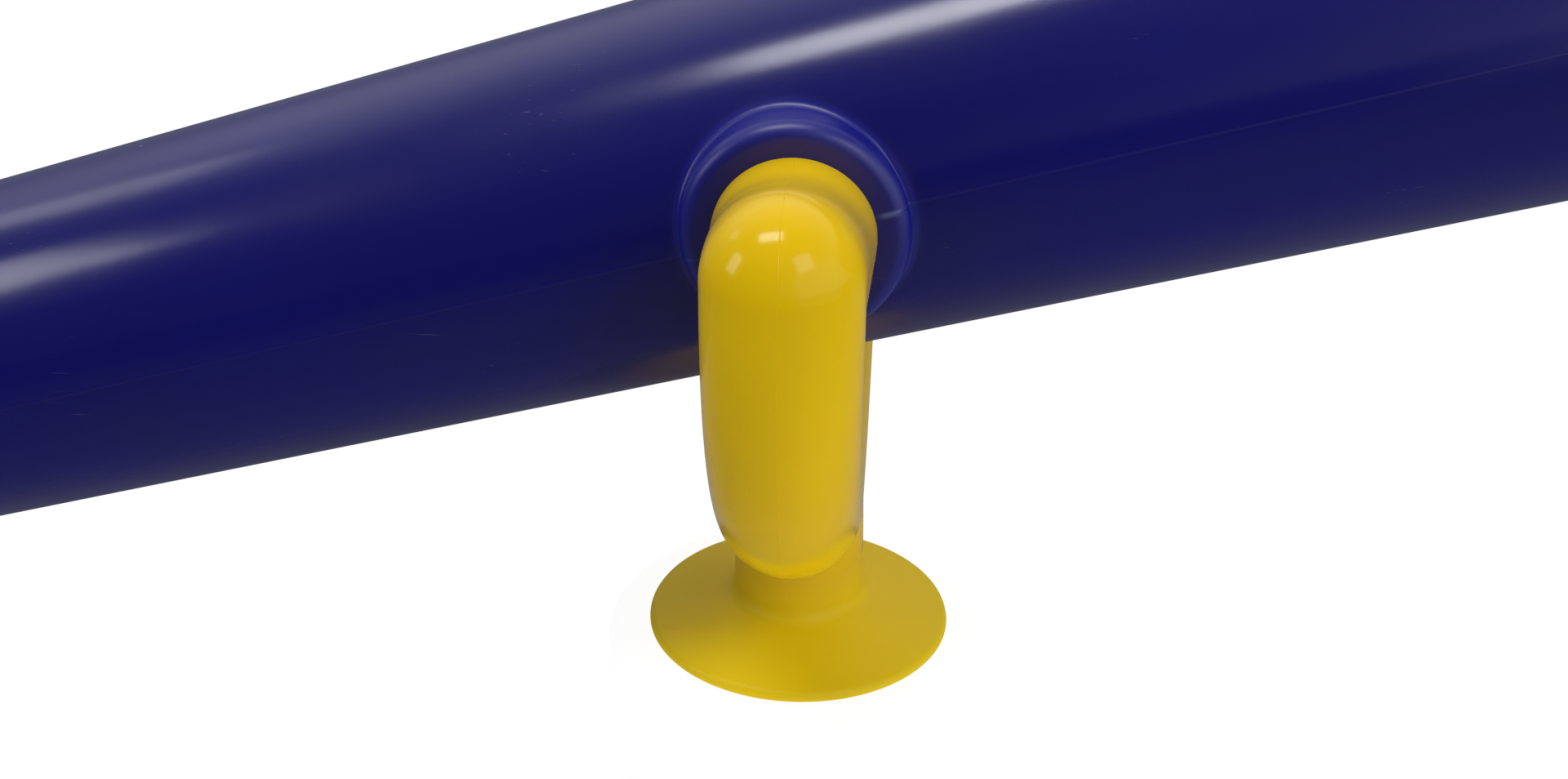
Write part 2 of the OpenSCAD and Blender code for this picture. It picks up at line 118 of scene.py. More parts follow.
# Handling marks: hair scratches in patches, and sparse pale specks
HAIR_RUNS = (
    ((0.3, 0.5, 0.4), (45.0, 1500.0, 1500.0)),
    ((0.9, 0.2, 2.1), (70.0, 1300.0, 1300.0)),
)
HAIR_LIMITS = (0.71, 0.82)
PATCH_SCALE = 21.0
PATCH_LIMITS = (0.56, 0.72)
SPECK_SCALE = 95.0
SPECK_CHANCE = (0.93, 0.94)
SPECK_SIZE = (0.075, 0.035)
scuffing, scuff_in, scuff_out = new_group(
    "scuffing", [("Vector", "NodeSocketVector")],
    [("Scratch", "NodeSocketFloat"), ("Speck", "NodeSocketFloat")],
)
patch = add_node(
    scuffing, "ShaderNodeTexNoise", None,
    {"Vector": scuff_in.outputs["Vector"], "Scale": PATCH_SCALE, "Detail": 2.0},
)
hairs = []
for turn, stretch in HAIR_RUNS:
    along = add_node(
        scuffing, "ShaderNodeMapping", None,
        {"Vector": scuff_in.outputs["Vector"], "Rotation": turn, "Scale": stretch},
    )
    hair = add_node(
        scuffing, "ShaderNodeTexNoise", None,
        {"Vector": along.outputs["Vector"], "Scale": 1.0, "Detail": 1.0},
    )
    hairs.append(ramp(scuffing, hair.outputs["Fac"], *HAIR_LIMITS))
both_ways = arithmetic(scuffing, "MAXIMUM", hairs[0], hairs[1])
in_patch = ramp(scuffing, patch.outputs["Fac"], *PATCH_LIMITS)
patched = arithmetic(scuffing, "MULTIPLY", both_ways, in_patch)
scuffing.links.new(patched, scuff_out.inputs["Scratch"])
cells = add_node(
    scuffing, "ShaderNodeTexVoronoi", None,
    {"Vector": scuff_in.outputs["Vector"], "Scale": SPECK_SCALE},
)
parts = add_node(scuffing, "ShaderNodeSeparateColor", None, {"Color": cells.outputs["Color"]})
chosen = ramp(scuffing, parts.outputs["Red"], *SPECK_CHANCE)
dot = ramp(scuffing, cells.outputs["Distance"], *SPECK_SIZE)
scuffing.links.new(arithmetic(scuffing, "MULTIPLY", chosen, dot), scuff_out.inputs["Speck"])

TONE_LOW, TONE_HIGH = 0.3, 0.7
ROUGHNESS_SPREAD = 0.03
SCRATCH_SHOW = 0.2
SCRATCH_ROUGHNESS = 0.2
SPECK_SHOW = 0.6


def moulded_plastic(name, colour, shade, pale, roughness, peel, wave, gloss=0.5, tinting_and_dulling=None):
    # The tinting_and_dulling function adds tints with masks in places, some of them painted light,
    # and dullness
    material, tree, shader, place = new_finish(name)
    shader.inputs["Specular IOR Level"].default_value = gloss
    skin = effect(tree, moulding, place)
    marks = effect(tree, scuffing, place)
    cloud_share = ramp(tree, skin["Tone"], TONE_LOW, TONE_HIGH)
    pigment = mixed_colour(tree, cloud_share, (*colour, 1), (*shade, 1))
    scratched = arithmetic(tree, "MULTIPLY", marks["Scratch"], SCRATCH_SHOW)
    specked = arithmetic(tree, "MULTIPLY", marks["Speck"], SPECK_SHOW)
    rubbed = arithmetic(tree, "MAXIMUM", scratched, specked)
    wear_and_painted_light = mixed_colour(tree, rubbed, pigment, (*pale, 1))
    tints, dullness = tinting_and_dulling(tree, place) if tinting_and_dulling else ([], None)
    # Some tints are painted light: a lighter foot flare and a highlight on the collars' rims
    for mask, tint in tints:
        wear_and_painted_light = mixed_colour(tree, mask, wear_and_painted_light, (*tint, 1))
    tree.links.new(wear_and_painted_light, shader.inputs["Base Color"])
    dull = add_node(
        tree, "ShaderNodeMapRange", None,
        {"Value": skin["Tone"], "From Min": TONE_LOW, "From Max": TONE_HIGH,
         "To Min": roughness - ROUGHNESS_SPREAD, "To Max": roughness + ROUGHNESS_SPREAD},
    ).outputs["Result"]
    scraped = arithmetic(tree, "MULTIPLY", marks["Scratch"], SCRATCH_ROUGHNESS)
    finish = arithmetic(tree, "ADD", dull, scraped)
    if dullness is not None:
        finish = arithmetic(tree, "ADD", finish, dullness)
    tree.links.new(finish, shader.inputs["Roughness"])
    slow = bump(tree, skin["Wave"], wave)
    tree.links.new(bump(tree, skin["Peel"], peel, slow), shader.inputs["Normal"])
    return material


def dress(node_name, material):
    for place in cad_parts[node_name].material_slots:
        place.material = material


black_plastic = moulded_plastic(
    "matt black plastic", (0.020, 0.020, 0.022), (0.028, 0.028, 0.030), (0.12, 0.12, 0.12),
    roughness=0.55, peel=0.00003, wave=0.0001,
)
dress("mounting_disc", black_plastic)


# Swivel bush
# A flanged sleeve of natural nylon between the snap hub and the foot's lip. The yoke
# turns on it, and it is never seen once the foot is on.

natural_nylon = moulded_plastic(
    "natural nylon", (0.70, 0.67, 0.58), (0.62, 0.59, 0.50), (0.80, 0.78, 0.72),
    roughness=0.45, peel=0.00002, wave=0.0001,
)
dress("swivel_bush", natural_nylon)


# Yoke
# A blow-moulded half ring of yellow polyethylene tube with domed arm ends, a stub and a
# journal towards each collar, and a flared foot. A fine line shows where the mould parted.

PIVOT_Z = 0.16225
RING_R = 0.10315
ARM_R = 0.02063
DOME_RISE = 0.006
SHOULDER_Y = 0.06345
STUB_R = 0.0222
NECK_R = 0.0212
NECK_TOP_R = 0.0200
NECK_CUT_Z = 0.0235
SEAM_MERGE = 0.000002
SIDES = {"right": -1, "left": 1}


def edit_all():
    bpy.ops.object.mode_set(mode="EDIT")
    bpy.ops.mesh.select_all(action="SELECT")


def only(piece):
    bpy.ops.object.select_all(action="DESELECT")
    piece.select_set(True)
    bpy.context.view_layer.objects.active = piece


def join(pieces, name):
    only(pieces[0])
    for piece in pieces:
        piece.select_set(True)
    bpy.ops.object.join()
    pieces[0].name = name
    bpy.ops.object.transform_apply()
    return pieces[0]


def apply(piece, kind, **settings):
    modifier = piece.modifiers.new(kind.lower(), kind)
    for key, value in settings.items():
        setattr(modifier, key, value)
    only(piece)
    bpy.ops.object.modifier_apply(modifier=modifier.name)


def select_points(piece, inside):
    bpy.ops.object.mode_set(mode="EDIT")
    bpy.ops.mesh.select_all(action="DESELECT")
    bpy.ops.object.mode_set(mode="OBJECT")
    for point in piece.data.vertices:
        point.select = inside(point.co)
    bpy.ops.object.mode_set(mode="EDIT")


def finish_surface(piece, material, angle):
    only(piece)
    bpy.ops.object.shade_smooth_by_angle(angle=math.radians(angle))
    piece.data.materials.clear()
    piece.data.materials.append(material)


def turned(name, outline, steps, place, closed=True):
    # Rings extruded one after another along the axis, from points of radius and distance.
    # A closed piece has its seam merged, and an end that stops near the axis is filled.
    bpy.ops.object.select_all(action="DESELECT")
    radius, height = outline[0]
    bpy.ops.mesh.primitive_circle_add(vertices=steps, radius=radius, location=(0, 0, height))
    piece = bpy.context.object
    piece.name = name
    bpy.ops.object.transform_apply()
    edit_all()
    for next_radius, next_height in outline[1:]:
        bpy.ops.mesh.extrude_region_move(
            TRANSFORM_OT_translate={"value": (0, 0, next_height - height)}
        )
        scale = next_radius / radius
        bpy.ops.transform.resize(value=(scale, scale, 1), center_override=(0, 0, next_height))
        radius, height = next_radius, next_height
    bpy.ops.mesh.select_all(action="SELECT")
    if closed:
        bpy.ops.mesh.remove_doubles(threshold=SEAM_MERGE)
        bpy.ops.mesh.fill_holes(sides=0)
        bpy.ops.mesh.normals_make_consistent(inside=False)
    bpy.ops.object.mode_set(mode="OBJECT")
    piece.matrix_world = place
    bpy.ops.object.transform_apply()
    return piece


def arc(centre, radius, start, end, steps):
    turns = [math.radians(start + (end - start) * i / steps) for i in range(steps + 1)]
    return [(centre[0] + radius * math.cos(a), centre[1] + radius * math.sin(a)) for a in turns]


def parting_line(piece, normal, point, keep, bead, sink):
    # A thin bead along the cut of a plane through the piece, sunk to stand only a little proud
    only(piece)
    bpy.ops.object.duplicate()
    line = bpy.context.object
    edit_all()
    bpy.ops.transform.shrink_fatten(value=-sink)
    bpy.ops.mesh.bisect(plane_co=point, plane_no=normal, clear_inner=True, clear_outer=True)
    select_points(line, lambda co: not keep(co))
    bpy.ops.mesh.delete(type="VERT")
    bpy.ops.object.mode_set(mode="OBJECT")
    bpy.ops.object.convert(target="CURVE")
    line.data.bevel_depth = bead
    line.data.bevel_resolution = 2
    line.data.use_fill_caps = True
    bpy.ops.object.convert(target="MESH")
    return line


bpy.ops.mesh.primitive_torus_add(
    major_radius=RING_R, minor_radius=ARM_R, major_segments=180, minor_segments=72,
    location=(0, 0, PIVOT_Z), rotation=(0, math.pi / 2, 0),
)
half_ring = bpy.context.object
bpy.ops.object.transform_apply()
edit_all()
bpy.ops.mesh.bisect(plane_co=(0, 0, PIVOT_Z), plane_no=(0, 0, 1), clear_outer=True, use_fill=True)
bpy.ops.object.mode_set(mode="OBJECT")
tubes = [half_ring]
OVERLAP = 0.002
STUB_START_Y = 0.058
for side in SIDES.values():
    bpy.ops.mesh.primitive_cylinder_add(
        vertices=72, radius=ARM_R, depth=DOME_RISE + OVERLAP,
        location=(0, side * RING_R, PIVOT_Z + (DOME_RISE - OVERLAP) / 2),
    )
    tubes.append(bpy.context.object)
    bpy.ops.mesh.primitive_uv_sphere_add(
        segments=72, ring_count=48, radius=ARM_R, location=(0, side * RING_R, PIVOT_Z + DOME_RISE),
    )
    tubes.append(bpy.context.object)
    bpy.ops.mesh.primitive_cone_add(
        vertices=96, radius1=STUB_R, radius2=ARM_R, depth=RING_R - STUB_START_Y,
        location=(0, side * (RING_R + STUB_START_Y) / 2, PIVOT_Z),
        rotation=(-side * math.pi / 2, 0, 0),
    )
    tubes.append(bpy.context.object)
NECK_LOW_Z = 0.016
BELLY_Z = PIVOT_Z - RING_R
bpy.ops.mesh.primitive_cone_add(
    vertices=96, radius1=NECK_R, radius2=NECK_TOP_R, depth=BELLY_Z - NECK_LOW_Z,
    location=(0, 0, (BELLY_Z + NECK_LOW_Z) / 2),
)
tubes.append(bpy.context.object)
yoke = join(tubes, "yoke_moulding")
apply(yoke, "REMESH", mode="VOXEL", voxel_size=0.0012, use_smooth_shade=True)
apply(yoke, "SMOOTH", iterations=5, factor=0.5)

RISE_Y = 0.070
ELBOW_FILLET = 0.008
BELLY_FILLET = 0.008
SAME_SLOPE = 0.9995
PIVOT_GAP = 0.001
AXIS_GAP = 0.0001


def flow(first, second, alike, fillet):
    # Two surfaces joined by a fillet, from the heights over both and the likeness of their slopes
    under_first, under_second = fillet - first, fillet - second
    opening = np.maximum(1 - alike**2, 1 - SAME_SLOPE)
    first_share = (under_first - alike * under_second) / opening
    second_share = (under_second - alike * under_first) / opening
    reach = np.sqrt(np.maximum(first_share * under_first + second_share * under_second, 0))
    in_crease = (first_share > 0) & (second_share > 0) & (alike < SAME_SLOPE)
    return np.where(in_crease, fillet - reach, np.minimum(first, second))


def yoke_surface(points):
    # Height of points above the moulded skin: ring, domed arm ends, stubs and neck in one
    x, y, z = points[:, 0], np.abs(points[:, 1]), points[:, 2] - PIVOT_Z
    round_r = np.maximum(np.hypot(y, z), PIVOT_GAP)
    spread = np.where(z > 0, y - RING_R, (round_r - RING_R) * y / round_r)
    lift = np.where(z > 0, z - np.clip(z, 0, DOME_RISE), (round_r - RING_R) * z / round_r)
    arm_far = np.maximum(np.sqrt(x**2 + spread**2 + lift**2), AXIS_GAP)
    share = np.clip((y - RISE_Y) / (RING_R - RISE_Y), 0, 1)
    over_stub = z - np.clip(z, 0, DOME_RISE * share**2 * (3 - 2 * share))
    past = np.maximum(y - RING_R, 0)
    stub_far = np.maximum(np.sqrt(x**2 + over_stub**2 + past**2), AXIS_GAP)
    stub = stub_far - np.interp(y, (SHOULDER_Y, RING_R), (STUB_R, ARM_R))
    alike = (x * x + spread * past + lift * over_stub) / (arm_far * stub_far)
    tubes_skin = flow(arm_far - ARM_R, stub, alike, ELBOW_FILLET)
    over = np.maximum(points[:, 2] - BELLY_Z, 0)
    neck_far = np.maximum(np.sqrt(x**2 + y**2 + over**2), AXIS_GAP)
    neck = neck_far - np.interp(points[:, 2], (NECK_LOW_Z, BELLY_Z), (NECK_R, NECK_TOP_R))
    alike = (x * x + spread * y + lift * over) / (arm_far * neck_far)
    return flow(tubes_skin, neck, alike, BELLY_FILLET)


# The rough skin is drawn onto that surface, apart from the ends that are cut off below
NECK_END = 0.003
STUB_END = 0.002
STUB_BELOW = 0.03
STEP = 0.00002
FIT_PASSES = 6
LEAST_STEEP = 0.25
places = np.empty(3 * len(yoke.data.vertices))
yoke.data.vertices.foreach_get("co", places)
places = places.reshape(-1, 3)
kept = (places[:, 2] > NECK_LOW_Z + NECK_END) & ~(
    (np.abs(places[:, 1]) < STUB_START_Y + STUB_END) & (places[:, 2] > PIVOT_Z - STUB_BELOW)
)
for fit in range(FIT_PASSES):
    skin_at = places[kept]
    slope = np.stack([
        (yoke_surface(skin_at + STEP * axis) - yoke_surface(skin_at - STEP * axis)) / (2 * STEP)
        for axis in np.eye(3)
    ], axis=1)
    steep = np.maximum((slope**2).sum(axis=1), LEAST_STEEP)
    places[kept] -= slope * (yoke_surface(skin_at) / steep)[:, None]
yoke.data.vertices.foreach_set("co", places.ravel())
yoke.data.update()

# Each stub ends in a thin lip round the tilt washer
LIP_Y = 0.0622
WASHER_ROOM = 0.0012
STUB_LOW_Z = PIVOT_Z - 0.028
STUB_INNER_Y, STUB_OUTER_Y = 0.05, 0.07
for side in SIDES.values():
    only(yoke)
    select_points(
        yoke, lambda co: co.z > STUB_LOW_Z and STUB_INNER_Y < side * co.y < STUB_OUTER_Y,
    )
    bpy.ops.mesh.bisect(
        plane_co=(0, side * LIP_Y, 0), plane_no=(0, side, 0), clear_inner=True, use_fill=True,
    )
    bpy.ops.mesh.inset(thickness=WASHER_ROOM, depth=0)
    bpy.ops.transform.translate(value=(0, side * (SHOULDER_Y - LIP_Y), 0))
    bpy.ops.object.mode_set(mode="OBJECT")
YOKE_BEAD = 0.0004
YOKE_BEAD_SINK = 0.00033
yoke_line = parting_line(
    yoke, (1, 0, 0), (0, 0, 0), lambda co: co.z > NECK_CUT_Z, YOKE_BEAD, YOKE_BEAD_SINK,
)
only(yoke)
edit_all()
bpy.ops.mesh.bisect(plane_co=(0, 0, NECK_CUT_Z), plane_no=(0, 0, 1), clear_inner=True)
bpy.ops.object.mode_set(mode="OBJECT")

# The foot is turned in one run: neck, fillet, flare, rim, underside and the snap lip inside
FOOT_R = 0.0495
RIM_T = 0.003
RIM_GAP = 0.001
RIM_ROUND = 0.0028
RIM_UNDER_ROUND = 0.0005
FLARE = 18.0
NECK_FILLET = 0.005
WALL = 0.003
UNDER_EDGE_R = 0.0450
UNDER_RS = (0.0435, 0.030)
SNAP_LIP_R = 0.01532
SNAP_LIP_LOW_Z, SNAP_LIP_TOP_Z = 0.018, 0.022
HOOK_ROOM_R = 0.0172
HOOK_ROOM_Z = 0.0278
CEILING_R = 0.0002
CEILING_Z = 0.0280
FLARE_STEPS = 12
edge_centre = (FOOT_R - RIM_T / 2, RIM_GAP + RIM_T / 2)
flare_sin, flare_cos = math.sin(math.radians(FLARE)), math.cos(math.radians(FLARE))
flare_foot = (edge_centre[0] + RIM_T / 2 * flare_sin, edge_centre[1] + RIM_T / 2 * flare_cos)
fillet_r = NECK_R + NECK_FILLET
fillet_z = flare_foot[1] + (NECK_FILLET - (fillet_r - flare_foot[0]) * flare_sin) / flare_cos
inner_foot = (flare_foot[0] - WALL * flare_sin, flare_foot[1] - WALL * flare_cos)
ROOM_R = NECK_R - WALL


def under_flare(radius):
    return (radius, inner_foot[1] + (inner_foot[0] - radius) * flare_sin / flare_cos)


fillet_arc = arc((fillet_r, fillet_z), NECK_FILLET, 180, 270 - FLARE, 10)
round_r = FOOT_R - RIM_ROUND
round_z = flare_foot[1] - (RIM_ROUND + (round_r - flare_foot[0]) * flare_sin) / flare_cos
rim_arc = arc((round_r, round_z), RIM_ROUND, 90 - FLARE, 0, 12)
rim_arc += arc((FOOT_R - RIM_UNDER_ROUND, RIM_GAP + RIM_UNDER_ROUND), RIM_UNDER_ROUND, 0, -90, 4)
flare_top, flare_low = fillet_arc[-1], rim_arc[0]
flare_run = [
    (flare_top[0] + (flare_low[0] - flare_top[0]) * i / FLARE_STEPS,
     flare_top[1] + (flare_low[1] - flare_top[1]) * i / FLARE_STEPS)
    for i in range(1, FLARE_STEPS)
]
JOIN_DROP = 0.0008
JOIN_STEP = 0.0001
JOIN_BAND = 0.0015
JOIN_INNER_R = 0.019
AXIS_R = 0.0005
foot = turned(
    "foot",
    [(NECK_R - JOIN_STEP, NECK_CUT_Z - JOIN_DROP)] + fillet_arc + flare_run + rim_arc
    + [(UNDER_EDGE_R, RIM_GAP)] + [under_flare(radius) for radius in (*UNDER_RS, ROOM_R)]
    + [(ROOM_R, SNAP_LIP_LOW_Z), (SNAP_LIP_R, SNAP_LIP_LOW_Z), (SNAP_LIP_R, SNAP_LIP_TOP_Z),
       (HOOK_ROOM_R, SNAP_LIP_TOP_Z), (HOOK_ROOM_R, HOOK_ROOM_Z), (CEILING_R, CEILING_Z)],
    steps=144, place=Matrix.Identity(4), closed=False,
)


def at_join(co):
    in_band = NECK_CUT_Z - JOIN_BAND < co.z < NECK_CUT_Z + JOIN_STEP
    return in_band and co.x**2 + co.y**2 > JOIN_INNER_R**2


yoke = join([yoke, foot], "yoke_moulding")
only(yoke)
select_points(yoke, at_join)
bpy.ops.mesh.bridge_edge_loops()
select_points(yoke, lambda co: co.x**2 + co.y**2 < AXIS_R**2)
bpy.ops.mesh.merge(type="CENTER")
bpy.ops.mesh.select_all(action="SELECT")
bpy.ops.mesh.normals_make_consistent(inside=False)
bpy.ops.object.mode_set(mode="OBJECT")

JOURNAL_R = 0.016
GROOVE_R = 0.0146
TIP_R = 0.0154
JOURNAL_POLE_R = 0.0004
JOURNAL_ROOT = 0.065
GROOVE_OUTER, GROOVE_INNER = 0.04325, 0.04175
CHAMFER_START, JOURNAL_TIP = 0.03935, 0.03875
journals = []
for side in SIDES.values():
    outward = Matrix.Translation((0, 0, PIVOT_Z)) @ Matrix.Rotation(-side * math.pi / 2, 4, "X")
    journals.append(turned(
        "journal",
        [(JOURNAL_POLE_R, JOURNAL_ROOT), (JOURNAL_R, JOURNAL_ROOT), (JOURNAL_R, GROOVE_OUTER),
         (GROOVE_R, GROOVE_OUTER), (GROOVE_R, GROOVE_INNER), (JOURNAL_R, GROOVE_INNER),
         (JOURNAL_R, CHAMFER_START), (TIP_R, JOURNAL_TIP), (JOURNAL_POLE_R, JOURNAL_TIP)],
        steps=96, place=outward,
    ))
yoke = join([yoke, yoke_line, *journals], "yoke_moulding")

# Painted light: a lighter yellow on the flat flare of the foot
PAINTED_LIGHT_YELLOW = (0.97, 0.70, 0.005)
FADED_ROUGHNESS = 0.30
PAINTED_LIGHT_ZS = (0.030, 0.010)
DULLED_ZS = (0.034, 0.020)


def foot_painted_light_and_dullness(tree, place):
    # The flat flare of the foot is painted a lighter yellow as painted light, and is made a little
    # duller
    height = add_node(tree, "ShaderNodeSeparateXYZ", None, {"Vector": place}).outputs["Z"]
    painted_light_share = ramp(tree, height, *PAINTED_LIGHT_ZS)
    weathered = ramp(tree, height, *DULLED_ZS)
    return [(painted_light_share, PAINTED_LIGHT_YELLOW)], arithmetic(tree, "MULTIPLY", weathered, FADED_ROUGHNESS)


yellow_plastic = moulded_plastic(
    "yellow polyethylene", (0.88, 0.575, 0.003), (0.84, 0.535, 0.0025), (0.92, 0.74, 0.20),
    roughness=0.135, peel=0.000010, wave=0.0002, gloss=0.22, tinting_and_dulling=foot_painted_light_and_dullness,
)
finish_surface(yoke, yellow_plastic, angle=35)
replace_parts(yoke, "yoke")
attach(yoke, "yoke")


# Trunnion clips
# Split snap rings of stainless spring steel, pressed into the journals' grooves inside
# the barrel. They keep the collars from coming off the journals.

DRAWN_LINES = (400, 3000, 3000)
LINE_SHADE = 0.8
LINE_SPREAD = 0.08
LINE_DEPTH = 0.000004


def brushed_steel(name, colour, roughness):
    material, tree, shader, place = new_finish(name)
    shader.inputs["Metallic"].default_value = 1.0
    drawn = add_node(tree, "ShaderNodeMapping", None, {"Vector": place, "Scale": DRAWN_LINES})
    lines = add_node(
        tree, "ShaderNodeTexNoise", None,
        {"Vector": drawn.outputs["Vector"], "Scale": 1.0, "Detail": 2.0},
    ).outputs["Fac"]
    tint = mixed_colour(tree, lines, (*(LINE_SHADE * c for c in colour), 1), (*colour, 1))
    tree.links.new(tint, shader.inputs["Base Color"])
    dull = add_node(
        tree, "ShaderNodeMapRange", None,
        {"Value": lines, "To Min": roughness - LINE_SPREAD, "To Max": roughness + LINE_SPREAD},
    )
    tree.links.new(dull.outputs["Result"], shader.inputs["Roughness"])
    tree.links.new(bump(tree, lines, LINE_DEPTH), shader.inputs["Normal"])
    return material


stainless = brushed_steel("stainless steel", (0.62, 0.62, 0.63), 0.3)
for side_name in SIDES:
    dress(side_name + "_trunnion_clip", stainless)


# Barrel
# A blow-moulded tapered tube of blue polyethylene with a bell in front, a neck behind and
# a round collar on each side. The mould parted along its sides, through both collars.

REST_TILT = math.radians(16.4)
BARREL_R = 0.05675
TAPER = 0.018
BELL_R = 0.070
BELL_START = 0.246
BELL_FULL = 0.276
BARREL_FRONT = 0.290
SHOULDER_START = -0.290
SHOULDER_FULL = -0.320
BARREL_REAR = -0.342
REAR_NECK_R = 0.030
LEDGE_S = 0.279
LEDGE_R = 0.062
LEDGE_DEPTH = 0.008
on_barrel = (
    Matrix.Translation((0, 0, PIVOT_Z))
    @ Matrix.Rotation(-REST_TILT, 4, "Y")
    @ Matrix.Rotation(math.pi / 2, 4, "Y")
)


def cone_r(s):
    return BARREL_R + TAPER * s


def smooth_run(s0, r0, s1, r1, steps):
    shares = [i / steps for i in range(steps + 1)]
    return [(r0 + (r1 - r0) * t * t * (3 - 2 * t), s0 + (s1 - s0) * t) for t in shares]


def cut(piece, cutter):
    apply(piece, "BOOLEAN", operation="DIFFERENCE", solver="EXACT", object=cutter)
    bpy.data.objects.remove(cutter)


STRAIGHT_START, STRAIGHT_STEP, STRAIGHT_RINGS = -0.25, 0.02, 24
stations = [STRAIGHT_START + STRAIGHT_STEP * i for i in range(STRAIGHT_RINGS)]
straight = [(cone_r(s), s) for s in stations]
outside = (
    [(REAR_NECK_R, BARREL_REAR)]
    + smooth_run(SHOULDER_FULL, REAR_NECK_R, SHOULDER_START, cone_r(SHOULDER_START), 18)
    + straight
    + smooth_run(BELL_START, cone_r(BELL_START), BELL_FULL, BELL_R, 18)
    + [(BELL_R, BARREL_FRONT)]
)
shoulder_room_r = cone_r(SHOULDER_START) - WALL
rear_room_r = REAR_NECK_R - WALL
inside = (
    [(BELL_R - WALL, BARREL_FRONT), (BELL_R - WALL, LEDGE_S)]
    + [(LEDGE_R, LEDGE_S), (LEDGE_R, LEDGE_S - LEDGE_DEPTH)]
    + [(cone_r(BELL_START) - WALL, BELL_START), (shoulder_room_r, SHOULDER_START)]
    + smooth_run(SHOULDER_START, shoulder_room_r, SHOULDER_FULL, rear_room_r, 10)[1:]
    + [(rear_room_r, BARREL_REAR), (REAR_NECK_R, BARREL_REAR)]
)
barrel = turned("barrel_moulding", outside + inside, steps=192, place=on_barrel)

COLLAR_R = 0.03125
COLLAR_FACE = 0.062
COLLAR_ROUND = 0.0045
COLLAR_FILLET = 0.0012
SOCKET_R = 0.01821
SOCKET_WALL_R = 0.0212
SOCKET_END = 0.0435
SOCKET_WALL_TOP = 0.0525
FACE_STEPS = 5
FILLET_SHARE = 0.42
LEAST_DROP = 0.0006
COLLAR_STEPS = 160
SKIRT_SINK = 0.0012
SKIRT_SPREAD = 1.01
DRILL_R = 0.024
DRILL_L = 0.3
bpy.ops.object.select_all(action="DESELECT")
bpy.ops.mesh.primitive_cylinder_add(
    vertices=96, radius=DRILL_R, depth=DRILL_L,
    location=(0, 0, PIVOT_Z), rotation=(math.pi / 2, 0, 0),
)
cut(barrel, bpy.context.object)


def barrel_side(along, across):
    # Height of the barrel's side above the middle plane, at a place on a collar
    return math.sqrt(max(cone_r(along) ** 2 - across**2, 0))


def collar_rings():
    # Rings of a collar from its socket over face, rounded edge and fillet into the barrel's wall
    turns = [2 * math.pi * i / COLLAR_STEPS for i in range(COLLAR_STEPS)]
    flat_r = COLLAR_R - COLLAR_ROUND
    level = [(SOCKET_WALL_R, SOCKET_WALL_TOP), (SOCKET_WALL_R, SOCKET_END)]
    level += [(SOCKET_R, SOCKET_END), (SOCKET_R, COLLAR_FACE)]
    level += [
        (SOCKET_R + (flat_r - SOCKET_R) * i / FACE_STEPS, COLLAR_FACE) for i in range(1, FACE_STEPS)
    ]
    level += arc((flat_r, COLLAR_FACE - COLLAR_ROUND), COLLAR_ROUND, 90, 0, 12)
    rings = [[(r * math.cos(a), r * math.sin(a), h) for a in turns] for r, h in level]
    for bend in range(0, 91, 9):
        ring = []
        for a in turns:
            high = barrel_side(COLLAR_R * math.cos(a), COLLAR_R * math.sin(a))
            drop = max(COLLAR_FACE - COLLAR_ROUND - high, LEAST_DROP)
            fillet = min(FILLET_SHARE * drop, COLLAR_FILLET)
            r = COLLAR_R + fillet * (1 - math.cos(math.radians(bend)))
            x, y = r * math.cos(a), r * math.sin(a)
            rise = fillet * (1 - math.sin(math.radians(bend)))
            ring.append((x, y, barrel_side(x, y) + rise))
        rings.append(ring)
    skirt_edge = [(x * SKIRT_SPREAD, y * SKIRT_SPREAD) for x, y, h in rings[-1]]
    rings.append([(x, y, barrel_side(x, y) - SKIRT_SINK) for x, y in skirt_edge])
    return rings


collars = []
for side_name, side in SIDES.items():
    rings = collar_rings()
    points = [point for ring in rings for point in ring]
    faces = []
    for i in range(len(rings)):
        for j in range(COLLAR_STEPS):
            k = (j + 1) % COLLAR_STEPS
            following = (i + 1) % len(rings)
            faces.append((i * COLLAR_STEPS + j, i * COLLAR_STEPS + k,
                          following * COLLAR_STEPS + k, following * COLLAR_STEPS + j))
    shell = bpy.data.meshes.new(side_name + "_collar")
    shell.from_pydata(points, [], faces)
    collar = bpy.data.objects.new(side_name + "_collar", shell)
    bpy.context.scene.collection.objects.link(collar)
    collar.matrix_world = (
        Matrix.Translation((0, 0, PIVOT_Z)) @ Matrix.Rotation(-REST_TILT, 4, "Y")
        @ Matrix.Rotation(-side * math.pi / 2, 4, "X")
    )
    only(collar)
    bpy.ops.object.transform_apply()
    edit_all()
    bpy.ops.mesh.normals_make_consistent(inside=False)
    bpy.ops.object.mode_set(mode="OBJECT")
    collars.append(collar)
barrel = join([barrel, *collars], "barrel_moulding")
across_up = Vector((-math.sin(REST_TILT), 0, math.cos(REST_TILT)))
along_axis = Vector((math.cos(REST_TILT), 0, math.sin(REST_TILT)))
pivot = Vector((0, 0, PIVOT_Z))
LINE_REAR, LINE_FRONT = -0.325, 0.276
LINE_UNDER_CONE, LINE_UNDER_NECK = 0.0012, 0.001
BARREL_BEAD = 0.0006
BARREL_BEAD_SINK = 0.00044


def on_outside(co):
    s = (co - pivot).dot(along_axis)
    if s > SHOULDER_START:
        skin_r = cone_r(s) - LINE_UNDER_CONE
    else:
        skin_r = REAR_NECK_R - LINE_UNDER_NECK
    return LINE_REAR < s < LINE_FRONT and abs(co.y) > skin_r


barrel_line = parting_line(barrel, across_up, pivot, on_outside, BARREL_BEAD, BARREL_BEAD_SINK)
barrel = join([barrel, barrel_line], "barrel_moulding")

